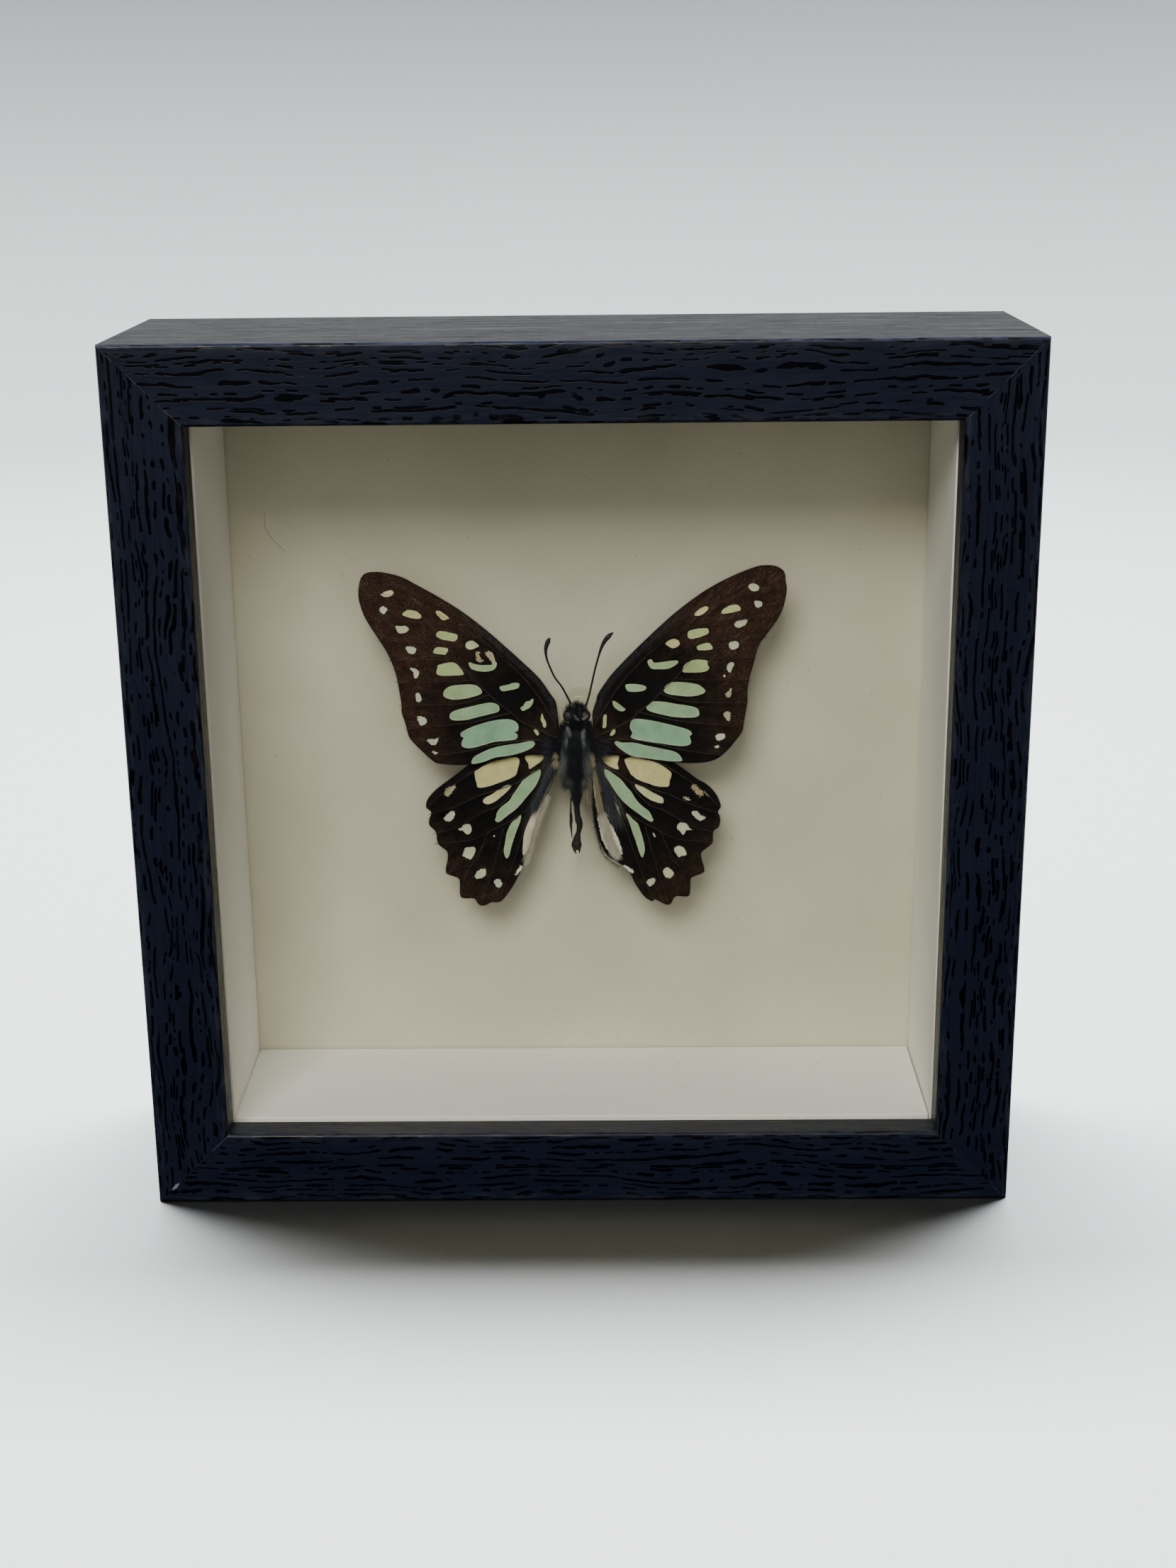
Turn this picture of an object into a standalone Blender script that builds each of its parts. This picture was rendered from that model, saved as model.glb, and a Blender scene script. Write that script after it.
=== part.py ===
"""A dried, spread butterfly in a square deep box frame, standing upright on its bottom rail.

Axes: +X to the right as seen from the front, +Y from the front face to the back, +Z up.
Origin: the centre of the footprint, at the height of the bottom face.
Depths are measured from the front face of the frame. Points on the butterfly are
(across, up) in millimetres from the centre of the frame, seen from the front.
"""
import math

import bmesh
import bpy
from mathutils import Matrix, Vector

MM = 0.001

# Frame
FRAME_SIZE = 150.0 * MM
FRAME_DEPTH = 44.0 * MM
RAIL_FACE = 13.0 * MM
RAIL_WALL = 8.7 * MM
LIP_THICKNESS = 5.3 * MM
OUTER_ROUND = 1.0 * MM
LIP_ROUND = 0.6 * MM
BACK_ROUND = 0.4 * MM
ROUND_STEPS = 4
GAP = 0.3 * MM

# Glass, spacer strips and boards
GLASS_THICKNESS = 2.0 * MM
STRIP_THICKNESS = 4.0 * MM
MOUNT_FACE_DEPTH = 37.6 * MM
MOUNT_THICKNESS = 2.0 * MM
BACKING_THICKNESS = 2.2 * MM

# Fixings on the back
TAB_LENGTH = 9.0 * MM
TAB_WIDTH = 6.0 * MM
TAB_THICKNESS = 0.5 * MM
TAB_OFFSET = 33.0 * MM
HANGER_LENGTH = 36.0 * MM
HANGER_HEIGHT = 8.0 * MM
HANGER_THICKNESS = 0.7 * MM
HANGER_TOP_MARGIN = 12.0 * MM
HANGER_TEETH = 12
TOOTH_DEPTH = 1.4 * MM
RIVET_RADIUS = 1.6 * MM
RIVET_INSET = 3.5 * MM

# Butterfly
WING_THICKNESS = 0.3 * MM
FOREWING_DEPTH = 28.4 * MM
HINDWING_DEPTH = 29.3 * MM
BODY_DEPTH = 29.0 * MM
WING_RISE = math.radians(1.5)
BODY_CENTRE = -0.6 * MM
POST_RADIUS = 3.65 * MM
POST_CENTRE = (0.3 * MM, 5.7 * MM)
POST_FRONT_DEPTH = 32.0 * MM
POST_SIDES = 32

HALF = FRAME_SIZE / 2
REBATE_HALF = HALF - RAIL_WALL - GAP
SIGHT_HALF = HALF - RAIL_FACE
GLASS_DEPTH = LIP_THICKNESS + GAP
STRIP_DEPTH = GLASS_DEPTH + GLASS_THICKNESS + GAP
BACKING_DEPTH = MOUNT_FACE_DEPTH + MOUNT_THICKNESS + GAP
FIXING_DEPTH = BACKING_DEPTH + BACKING_THICKNESS + GAP

# Wing outlines, from the wing's root along the leading edge and back along the rear edge
FOREWING_LEFT = (
    (-3.6, 4.56), (-3.8, 6.94), (-4.1, 8.93), (-5.0, 10.42), (-7.0, 13.4), (-10.0, 16.47),
    (-13.0, 19.35), (-16.0, 22.13), (-20.0, 25.41), (-24.0, 28.09), (-27.9, 30.38), (-30.6, 31.87),
    (-33.4, 32.66), (-35.5, 32.86), (-37.0, 32.56), (-37.8, 31.67), (-38.2, 30.08), (-38.3, 28.39),
    (-38.0, 26.8), (-37.4, 25.01), (-36.2, 22.73), (-34.8, 20.45), (-33.5, 18.06), (-32.7, 15.98),
    (-32.1, 13.69), (-31.8, 11.51), (-31.5, 9.03), (-31.5, 7.34), (-31.0, 5.65), (-30.6, 3.86),
    (-30.3, 2.77), (-29.4, 1.58), (-28.3, 0.39), (-27.1, -0.8), (-26.0, -1.8), (-25.0, -2.19),
    (-22.0, -2.49), (-19.3, -2.49), (-17.0, -2.19), (-14.0, -1.6), (-10.0, -0.7), (-7.0, -0.8),
    (-4.4, -0.31), (-3.6, 0.98),
)
FOREWING_RIGHT = (
    (2.5, 3.96), (2.4, 6.74), (3.1, 9.13), (3.4, 10.32), (4.7, 12.4), (6.3, 14.49), (9.9, 18.26),
    (13.6, 21.94), (17.4, 25.41), (22.4, 29.09), (27.1, 31.67), (31.0, 33.26), (32.8, 33.55),
    (34.3, 33.45), (35.4, 32.96), (36.1, 32.16), (36.3, 30.77), (36.5, 29.38), (36.3, 27.7),
    (35.9, 25.91), (35.0, 23.92), (33.6, 21.84), (32.0, 19.55), (31.3, 17.67), (30.7, 15.18),
    (30.2, 13.3), (29.9, 11.11), (29.9, 9.13), (29.6, 6.94), (29.3, 4.96), (29.0, 3.37),
    (27.9, 1.78), (26.8, 0.39), (25.7, -0.7), (24.5, -1.6), (22.7, -2.19), (20.2, -2.39),
    (17.4, -2.29), (14.7, -1.9), (11.0, -1.5), (7.5, -1), (4.5, -0.9), (2.6, 0.59),
)
HINDWING_LEFT = (
    (-4.3, 0.39), (-9.0, 0.59), (-15.0, -0.41), (-19.3, -2.39), (-22.4, -4.68), (-25.5, -6.96),
    (-27.0, -8.45), (-27.7, -9.64), (-27.7, -10.73), (-26.9, -11.63), (-27.3, -12.92),
    (-27.3, -14.11), (-26.2, -15.4), (-26.0, -17.09), (-25.5, -18.08), (-24.3, -19.17),
    (-24.2, -20.66), (-24.6, -22.55), (-24.2, -23.54), (-22.5, -24.24), (-22.1, -25.03),
    (-22.1, -27.52), (-21.5, -28.21), (-19.6, -28.31), (-18.8, -29.4), (-18.0, -29.7),
    (-17.2, -29.5), (-16.4, -29.1), (-15.2, -29.1), (-14.3, -28.61), (-12.6, -26.32),
    (-11.2, -23.64), (-10.1, -20.96), (-9.3, -18.68), (-8.5, -16.49), (-7.4, -12.72),
    (-6.2, -9.15), (-5.0, -6.36), (-4.1, -3.78), (-4.0, -1.6),
)
HINDWING_RIGHT = (
    (2.9, 0.09), (7.0, 0.39), (12.0, -0.41), (16.5, -2.29), (21.0, -5.57), (22.4, -6.36),
    (23.6, -7.36), (24.6, -8.65), (25.2, -9.94), (25.4, -10.93), (24.9, -11.93), (25.3, -13.02),
    (25.1, -14.71), (24.1, -15.6), (24.0, -17.49), (23.5, -18.28), (22.0, -19.57),
    (22.0, -20.86), (22.5, -22.75), (22.2, -23.54), (20.3, -24.44), (20.0, -25.23),
    (19.9, -27.52), (19.4, -28.21), (17.3, -28.21), (16.5, -29.5), (15.8, -29.8),
    (14.9, -29.5), (13.5, -28.71), (13.0, -29.1), (11.6, -28.21), (10.0, -25.83),
    (9.1, -23.94), (7.4, -22.05), (5.0, -20.47), (3.7, -18.18), (2.9, -15.2), (2.4, -11.73),
    (2.2, -8.25), (2.3, -4.78), (2.6, -1.8),
)

# Body stations: (across, up, half width, half depth)
HEAD_STATIONS = (
    (-0.4, 8.4, 0.4, 0.4), (-0.4, 8.1, 1.0, 0.9), (-0.4, 7.4, 1.6, 1.4), (-0.4, 6.6, 1.8, 1.6),
    (-0.4, 5.9, 1.6, 1.5), (-0.4, 5.4, 1.2, 1.1), (-0.4, 5.2, 0.6, 0.6),
)
THORAX_STATIONS = (
    (-0.6, 4.9, 0.8, 0.8), (-0.6, 4.6, 1.6, 1.5), (-0.6, 3.4, 2.2, 2.2), (-0.6, 1.6, 2.5, 2.6),
    (-0.6, -0.4, 2.5, 2.6), (-0.6, -2.2, 2.2, 2.3), (-0.7, -3.8, 1.7, 1.8),
    (-0.8, -4.5, 1.0, 1.1),
)
ABDOMEN_STATIONS = (
    (-0.7, -4.8, 0.8, 0.8), (-0.65, -5.2, 1.25, 1.25), (-0.5, -7.5, 1.15, 1.2),
    (-0.6, -9.2, 0.85, 0.95), (-0.6, -10.6, 0.6, 0.8), (-0.5, -12.2, 0.6, 0.7),
    (-0.3, -13.4, 0.7, 0.7), (-0.1, -14.3, 0.6, 0.7), (-0.3, -15.6, 0.5, 0.6),
    (-0.6, -16.8, 0.7, 0.7), (-0.7, -18.0, 1.0, 0.9), (-0.7, -18.9, 0.9, 0.8),
    (-0.6, -19.6, 0.5, 0.5), (-0.6, -19.9, 0.2, 0.2),
)
LEG_STATIONS = (
    (-1.7, -9.6, 0.15, 0.15), (-1.75, -11.0, 0.2, 0.2), (-1.65, -12.6, 0.3, 0.25),
    (-1.65, -14.2, 0.25, 0.25), (-1.6, -15.6, 0.2, 0.2), (-1.5, -16.8, 0.1, 0.1),
)
ANTENNA_LEFT_STATIONS = (
    (-1.3, 8.7, 0.15, 0.15), (-2.9, 11.4, 0.12, 0.12), (-4.1, 13.1, 0.12, 0.12),
    (-4.9, 14.8, 0.12, 0.12), (-5.5, 16.4, 0.14, 0.14), (-5.75, 17.8, 0.2, 0.2),
    (-5.65, 18.9, 0.26, 0.24), (-5.3, 19.9, 0.28, 0.25), (-4.95, 20.6, 0.12, 0.12),
)
ANTENNA_RIGHT_STATIONS = (
    (1.4, 8.2, 0.15, 0.15), (1.9, 10.2, 0.12, 0.12), (2.4, 12.4, 0.12, 0.12),
    (2.9, 14.6, 0.12, 0.12), (3.5, 16.8, 0.13, 0.13), (4.0, 18.4, 0.2, 0.2),
    (4.6, 19.7, 0.26, 0.24), (5.4, 20.7, 0.28, 0.25), (6.3, 21.5, 0.12, 0.12),
)
EYE_RADIUS = 1.0 * MM
EYE_HEIGHT = 6.6 * MM
EYE_SPREAD = 1.35 * MM

# sRGB colour, roughness, metallic
FINISHES = {
    "foil_wrapped_mdf": ((0.05, 0.06, 0.09), 0.45, 0.0),
    "clear_glass": ((0.90, 0.93, 0.92), 0.05, 0.0),
    "white_card": ((0.75, 0.74, 0.69), 0.80, 0.0),
    "cream_board": ((0.62, 0.60, 0.52), 0.85, 0.0),
    "brown_hardboard": ((0.30, 0.20, 0.12), 0.80, 0.0),
    "zinc_steel": ((0.60, 0.60, 0.60), 0.35, 1.0),
    "clear_adhesive": ((0.80, 0.80, 0.76), 0.15, 0.0),
    "black_brown_wing": ((0.06, 0.04, 0.04), 0.60, 0.0),
    "blue_black_body": ((0.04, 0.05, 0.08), 0.70, 0.0),
}


def material(name):
    """Return the named finish, made once."""
    found = bpy.data.materials.get(name)
    if found:
        return found
    colour, roughness, metallic = FINISHES[name]
    made = bpy.data.materials.new(name)
    made.use_nodes = True
    shader = made.node_tree.nodes["Principled BSDF"]
    shader.inputs["Base Color"].default_value = (*colour, 1.0)
    shader.inputs["Roughness"].default_value = roughness
    shader.inputs["Metallic"].default_value = metallic
    made.diffuse_color = (*colour, 1.0)
    return made


def add_object(name, shape, finish, smooth_angle=None):
    """Put a finished bmesh into the scene as one named object."""
    bmesh.ops.recalc_face_normals(shape, faces=shape.faces)
    mesh = bpy.data.meshes.new(name)
    shape.to_mesh(mesh)
    shape.free()
    mesh.materials.append(material(finish))
    if smooth_angle is not None:
        mesh.shade_smooth()
        mesh.set_sharp_from_angle(angle=smooth_angle)
    made = bpy.data.objects.new(name, mesh)
    bpy.context.scene.collection.objects.link(made)
    return made


def place(across, up, depth):
    """A point in the part's own frame, from the centre of the frame's front face."""
    return Vector((across, depth - FRAME_DEPTH / 2, up + HALF))


def bridge(shape, first, second):
    """Join two rings of vertices by quads."""
    count = len(first)
    for i in range(count):
        j = (i + 1) % count
        shape.faces.new((first[i], first[j], second[j], second[i]))


def prism(first_ring, second_ring):
    """A closed solid between two rings of points that match one to one."""
    shape = bmesh.new()
    first = [shape.verts.new(point) for point in first_ring]
    second = [shape.verts.new(point) for point in second_ring]
    bridge(shape, first, second)
    shape.faces.new(first)
    shape.faces.new(second)
    return shape


def rounded(corner, towards, away, radius):
    """Points of a quarter circle that rounds a square corner of a profile."""
    corner = Vector(corner)
    start = (Vector(towards) - corner).normalized() * radius
    finish = (Vector(away) - corner).normalized() * radius
    centre = corner + start + finish
    points = []
    for step in range(ROUND_STEPS + 1):
        angle = math.pi / 2 * step / ROUND_STEPS
        points.append(centre - finish * math.cos(angle) - start * math.sin(angle))
    return points


def rail_profile():
    """The moulding's section as (inward, depth): a deep wall with a lip at the front."""
    outer_front = (0.0, 0.0)
    lip_front = (RAIL_FACE, 0.0)
    lip_back = (RAIL_FACE, LIP_THICKNESS)
    rebate = (RAIL_WALL, LIP_THICKNESS)
    wall_back = (RAIL_WALL, FRAME_DEPTH)
    outer_back = (0.0, FRAME_DEPTH)
    points = []
    points += rounded(outer_front, outer_back, lip_front, OUTER_ROUND)
    points += rounded(lip_front, outer_front, lip_back, LIP_ROUND)
    points.append(Vector(lip_back))
    points.append(Vector(rebate))
    points.append(Vector(wall_back))
    points += rounded(outer_back, wall_back, outer_front, BACK_ROUND)
    return points


def build_rails():
    """Four mitred lengths of moulding, the same section turned round the frame."""
    centre = Vector((0.0, 0.0, HALF))
    mitre_gap = GAP / 2
    for turn, side in enumerate(("bottom", "right", "top", "left")):
        rotation = Matrix.Rotation(-turn * math.pi / 2, 4, "Y")
        rings = []
        for end in (-1, 1):
            ring = []
            for inward, depth in rail_profile():
                along = end * (HALF - inward - mitre_gap)
                point = place(along, inward - HALF, depth) - centre
                ring.append(rotation @ point + centre)
            rings.append(ring)
        add_object(f"rail_{side}", prism(*rings), "foil_wrapped_mdf", math.radians(30))


def block(name, low, high, finish):
    """A square-edged plate or strip; its corners are (across, up, depth)."""
    rings = []
    for depth in (low[2], high[2]):
        corners = ((low[0], low[1]), (high[0], low[1]), (high[0], high[1]), (low[0], high[1]))
        rings.append([place(across, up, depth) for across, up in corners])
    return add_object(name, prism(*rings), finish)


def build_inside():
    """Glass, the four spacer strips, the mount board and the backing board."""
    edge = REBATE_HALF
    inner = SIGHT_HALF
    glass_back = GLASS_DEPTH + GLASS_THICKNESS
    strip_back = MOUNT_FACE_DEPTH - GAP
    block("glass", (-edge, -edge, GLASS_DEPTH), (edge, edge, glass_back), "clear_glass")
    block("spacer_left", (-edge, -edge, STRIP_DEPTH), (-inner, edge, strip_back), "white_card")
    block("spacer_right", (inner, -edge, STRIP_DEPTH), (edge, edge, strip_back), "white_card")
    end = inner - GAP
    block("spacer_bottom", (-end, -edge, STRIP_DEPTH), (end, -inner, strip_back), "white_card")
    block("spacer_top", (-end, inner, STRIP_DEPTH), (end, edge, strip_back), "white_card")
    mount_back = MOUNT_FACE_DEPTH + MOUNT_THICKNESS
    block("mount_board", (-edge, -edge, MOUNT_FACE_DEPTH), (edge, edge, mount_back), "cream_board")
    backing_back = BACKING_DEPTH + BACKING_THICKNESS
    block("backing_board", (-edge, -edge, BACKING_DEPTH), (edge, edge, backing_back),
          "brown_hardboard")


def build_tabs():
    """Two flat steel points on each side, pressed into the wall and bent over the backing."""
    reach = REBATE_HALF - TAB_LENGTH
    front = FIXING_DEPTH
    back = FIXING_DEPTH + TAB_THICKNESS
    half_width = TAB_WIDTH / 2
    tip = half_width / 3
    outline = (
        (-half_width, REBATE_HALF), (half_width, REBATE_HALF),
        (half_width, reach + half_width), (tip, reach), (-tip, reach),
        (-half_width, reach + half_width),
    )
    for turn, side in enumerate(("top", "left", "bottom", "right")):
        angle = turn * math.pi / 2
        for number, offset in ((1, -TAB_OFFSET), (2, TAB_OFFSET)):
            rings = []
            for depth in (front, back):
                ring = []
                for across, up in outline:
                    x = across + offset
                    turned_x = x * math.cos(angle) - up * math.sin(angle)
                    turned_up = x * math.sin(angle) + up * math.cos(angle)
                    ring.append(place(turned_x, turned_up, depth))
                rings.append(ring)
            add_object(f"tab_{side}_{number}", prism(*rings), "zinc_steel")


def build_hanger():
    """A sawtooth hanging plate near the top of the backing, with a rivet at each end."""
    top = REBATE_HALF - HANGER_TOP_MARGIN
    bottom = top - HANGER_HEIGHT
    half_length = HANGER_LENGTH / 2
    toothed = half_length - 2 * RIVET_INSET
    outline = [(-half_length, top), (-half_length, bottom), (-toothed, bottom)]
    pitch = 2 * toothed / HANGER_TEETH
    for tooth in range(HANGER_TEETH):
        left = -toothed + tooth * pitch
        outline.append((left + pitch / 2, bottom + TOOTH_DEPTH))
        outline.append((left + pitch, bottom))
    outline += [(half_length, bottom), (half_length, top)]
    front = FIXING_DEPTH
    back = FIXING_DEPTH + HANGER_THICKNESS
    rings = [[place(across, up, depth) for across, up in outline] for depth in (front, back)]
    plate = add_object("hanger", prism(*rings), "zinc_steel")
    for side in (-1, 1):
        centre = (side * (half_length - RIVET_INSET), (top + bottom) / 2)
        stations = ((RIVET_RADIUS, front + GAP), (RIVET_RADIUS, back), (RIVET_RADIUS / 2, back + GAP))
        rivet = turned_solid(f"rivet_cutter_{side}", centre, stations, 16, "zinc_steel")
        rivet.hide_render = True
        rivet.display_type = "WIRE"
        union = plate.modifiers.new("rivet", "BOOLEAN")
        union.operation = "UNION"
        union.solver = "EXACT"
        union.object = rivet


def turned_solid(name, centre, stations, sides, finish):
    """A round solid with its axis front to back; stations are (radius, depth)."""
    shape = bmesh.new()
    rings = []
    for radius, depth in stations:
        ring = []
        for i in range(sides):
            angle = 2 * math.pi * i / sides
            across = centre[0] + radius * math.cos(angle)
            up = centre[1] + radius * math.sin(angle)
            ring.append(shape.verts.new(place(across, up, depth)))
        rings.append(ring)
    for first, second in zip(rings, rings[1:]):
        bridge(shape, first, second)
    shape.faces.new(rings[0])
    shape.faces.new(rings[-1])
    return add_object(name, shape, finish, math.radians(40))


def build_wing(name, outline, depth, root_across):
    """A thin flat plate cut to the wing's outline, its tip turned a little to the front."""
    slope = math.tan(WING_RISE)
    rings = []
    for face in (0.0, WING_THICKNESS):
        ring = []
        for across, up in outline:
            rise = abs(across * MM - root_across) * slope
            ring.append(place(across * MM, up * MM, depth - rise + face))
        rings.append(ring)
    add_object(name, prism(*rings), "black_brown_wing")


def loft(name, stations, sides, finish):
    """A solid through oval rings that stand square to a line in the wings' plane."""
    shape = bmesh.new()
    rings = []
    centres = [Vector((across, up)) * MM for across, up, _, _ in stations]
    for i, (_, _, half_width, half_depth) in enumerate(stations):
        before = centres[max(i - 1, 0)]
        after = centres[min(i + 1, len(centres) - 1)]
        along = (after - before).normalized()
        sideways = Vector((-along.y, along.x))
        ring = []
        for k in range(sides):
            angle = 2 * math.pi * k / sides
            point = centres[i] + sideways * (half_width * MM * math.cos(angle))
            depth = BODY_DEPTH + half_depth * MM * math.sin(angle)
            ring.append(shape.verts.new(place(point.x, point.y, depth)))
        rings.append(ring)
    for first, second in zip(rings, rings[1:]):
        bridge(shape, first, second)
    shape.faces.new(rings[0])
    shape.faces.new(rings[-1])
    return add_object(name, shape, finish, math.radians(50))


def build_head():
    """The head, with a round eye joined on at each side."""
    head = loft("head", HEAD_STATIONS, 20, "blue_black_body")
    for side in (-1, 1):
        shape = bmesh.new()
        bmesh.ops.create_uvsphere(shape, u_segments=16, v_segments=10, radius=EYE_RADIUS)
        centre = place(BODY_CENTRE + side * EYE_SPREAD, EYE_HEIGHT, BODY_DEPTH)
        bmesh.ops.translate(shape, verts=shape.verts, vec=centre)
        eye = add_object(f"eye_cutter_{side}", shape, "blue_black_body")
        eye.hide_render = True
        eye.display_type = "WIRE"
        union = head.modifiers.new("eye", "BOOLEAN")
        union.operation = "UNION"
        union.solver = "EXACT"
        union.object = eye


def build_butterfly():
    """Head, thorax, abdomen, one hind leg, two antennae, four wings and the clear post."""
    build_head()
    loft("thorax", THORAX_STATIONS, 24, "blue_black_body")
    loft("abdomen", ABDOMEN_STATIONS, 16, "blue_black_body")
    loft("leg", LEG_STATIONS, 8, "blue_black_body")
    loft("antenna_left", ANTENNA_LEFT_STATIONS, 8, "blue_black_body")
    loft("antenna_right", ANTENNA_RIGHT_STATIONS, 8, "blue_black_body")
    build_wing("forewing_left", FOREWING_LEFT, FOREWING_DEPTH, BODY_CENTRE)
    build_wing("forewing_right", FOREWING_RIGHT, FOREWING_DEPTH, BODY_CENTRE)
    build_wing("hindwing_left", HINDWING_LEFT, HINDWING_DEPTH, BODY_CENTRE)
    build_wing("hindwing_right", HINDWING_RIGHT, HINDWING_DEPTH, BODY_CENTRE)
    post_back = MOUNT_FACE_DEPTH - GAP
    stations = ((POST_RADIUS, POST_FRONT_DEPTH), (POST_RADIUS, post_back))
    turned_solid("clear_post", POST_CENTRE, stations, POST_SIDES, "clear_adhesive")


def main():
    for old in list(bpy.data.objects):
        bpy.data.objects.remove(old, do_unlink=True)
    build_rails()
    build_inside()
    build_tabs()
    build_hanger()
    build_butterfly()


main()
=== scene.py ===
"""Looks of a dried, spread butterfly in a square deep box frame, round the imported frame.

Lengths are in millimetres until a mesh, a lamp or the camera is made. A point is
(across, up, depth): across and up are measured from the centre of the frame as seen from
the front, and depth runs back from the front face of the rails.
"""

import functools
import math

import bpy
import numpy as np
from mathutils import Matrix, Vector


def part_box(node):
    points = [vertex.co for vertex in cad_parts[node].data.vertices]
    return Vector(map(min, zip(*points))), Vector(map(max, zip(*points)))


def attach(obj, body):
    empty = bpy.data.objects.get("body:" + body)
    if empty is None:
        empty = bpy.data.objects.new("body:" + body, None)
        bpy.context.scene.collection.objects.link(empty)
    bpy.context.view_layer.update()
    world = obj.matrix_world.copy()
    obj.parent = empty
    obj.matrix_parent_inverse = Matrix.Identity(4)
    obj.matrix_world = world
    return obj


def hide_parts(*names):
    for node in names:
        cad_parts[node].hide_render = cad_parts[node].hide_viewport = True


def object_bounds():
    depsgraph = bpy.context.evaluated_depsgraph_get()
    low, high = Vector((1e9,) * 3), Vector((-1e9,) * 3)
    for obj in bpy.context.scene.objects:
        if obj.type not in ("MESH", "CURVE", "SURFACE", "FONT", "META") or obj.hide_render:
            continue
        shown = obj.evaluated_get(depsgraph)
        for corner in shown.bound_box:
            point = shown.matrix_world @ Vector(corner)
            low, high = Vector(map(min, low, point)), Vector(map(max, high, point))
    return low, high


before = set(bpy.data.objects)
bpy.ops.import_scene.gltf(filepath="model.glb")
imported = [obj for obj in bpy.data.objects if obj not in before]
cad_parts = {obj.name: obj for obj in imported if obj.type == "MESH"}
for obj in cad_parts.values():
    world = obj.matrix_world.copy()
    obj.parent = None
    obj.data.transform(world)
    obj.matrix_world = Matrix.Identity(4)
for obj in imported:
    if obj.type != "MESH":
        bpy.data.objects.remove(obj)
CAD_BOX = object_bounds()

MM = 0.001
HALF = (CAD_BOX[1].x - CAD_BOX[0].x) / 2 / MM
FRAME_DEPTH = (CAD_BOX[1].y - CAD_BOX[0].y) / MM
RAIL_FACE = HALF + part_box("rail_left")[1].x / MM
# the moulding: its outer wall, the lip before the glass, its rounded edges, the gap at a mitre
RAIL_WALL = 8.7
LIP_THICKNESS = 5.3
OUTER_ROUND = 0.6
LIP_ROUND = 0.6
BACK_ROUND = 0.4
MITRE_GAP = 0.008
# the specimen's middle line, the board behind it, and how far a wing rises for each mm outwards
BODY_CENTRE = -0.6
BODY_DEPTH = 29.0
BOARD_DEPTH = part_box("mount_board")[0].y / MM + FRAME_DEPTH / 2
WING_RISE = math.tan(math.radians(1.5))
# gaps at the left and right ends of the top and bottom card strips
STRIP_FIT = (0.02, 0.25)
# the foil's nick, in the row frame's millimetres
CHIP_PLACE = (-71.9, -22.0, 3.1)
SHARP_ANGLE = math.radians(40)
NOISE, RANGE, RAMP = "TexNoise", "MapRange", "ValToRGB"
draw = np.random.default_rng(7)


# ---------------------------------------------------------------- lines and distances

def smoothstep(low, high, value):
    """0 below low, 1 above high, and the cubic 3t*t - 2t*t*t in between."""
    t = np.clip((value - low) / (high - low), 0, 1)
    return t * t * (3 - 2 * t)


def smooth_path(points, steps, closed=False):
    """Catmull-Rom curve through the points, with some steps to each span.

    Each span is the cubic whose slope at a point is half the way between its two neighbours.
    """
    p = np.array(points, float)
    if closed:
        p = np.vstack((p[-1:], p, p[:2]))
    else:
        p = np.vstack((2 * p[0] - p[1], p, 2 * p[-1] - p[-2]))
    a, b, c, d = (p[i:len(p) - 3 + i, None] for i in range(4))
    t = (np.arange(steps) / steps)[None, :, None]
    span = 2 * b + (c - a) * t + (2 * a - 5 * b + 4 * c - d) * t**2 + (3 * b - a - 3 * c + d) * t**3
    curve = 0.5 * span.reshape(-1, p.shape[1])
    return curve if closed else np.vstack((curve, p[-2:-1]))


def evenly(points, count, closed=False):
    """Points at equal steps along a line of straight pieces, by its running length."""
    line = np.vstack((points, points[:1])) if closed else points
    run = np.concatenate(([0], np.cumsum(np.linalg.norm(np.diff(line, axis=0), axis=1))))
    at = np.linspace(0, run[-1], count, endpoint=not closed)
    return np.stack([np.interp(at, run, line[:, k]) for k in range(line.shape[1])], -1)


def distance(points, line):
    """Distance from each point to a line: the least over its straight pieces."""
    best = np.full(len(points), np.inf)
    for start, end in zip(line[:-1], line[1:]):
        along = end - start
        share = np.clip((points - start) @ along / (along @ along), 0, 1)
        gap = points - start - share[:, None] * along
        best = np.minimum(best, np.hypot(gap[:, 0], gap[:, 1]))
    return best


def inside(points, outline):
    """Whether a closed outline holds each point: a line to the right crosses it an odd number of times."""
    held = np.zeros(len(points), bool)
    for start, end in zip(outline, np.roll(outline, -1, 0)):
        rise = end[1] - start[1]
        if rise:
            between = (start[1] > points[:, 1]) != (end[1] > points[:, 1])
            crossing = start[0] + (points[:, 1] - start[1]) / rise * (end[0] - start[0])
            held ^= between & (points[:, 0] < crossing)
    return held


# ---------------------------------------------------------------- meshes

def place(points):
    """Points in metres in the row frame, from (across, up, depth) in the last axis."""
    across, up, depth = np.moveaxis(np.asarray(points, float), -1, 0)
    return np.stack((across, depth - FRAME_DEPTH / 2, up + HALF), -1) * MM


def grid_faces(rows, columns, wrap=True):
    """Four-cornered faces between neighbours on a grid of points; wrap joins last column to first."""
    column = np.arange(columns if wrap else columns - 1)
    after = (column + 1) % columns
    row = np.arange(rows - 1)[:, None] * columns
    corners = (row + column, row + after, row + columns + after, row + columns + column)
    return np.stack(corners, -1).reshape(-1, 4)


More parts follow.
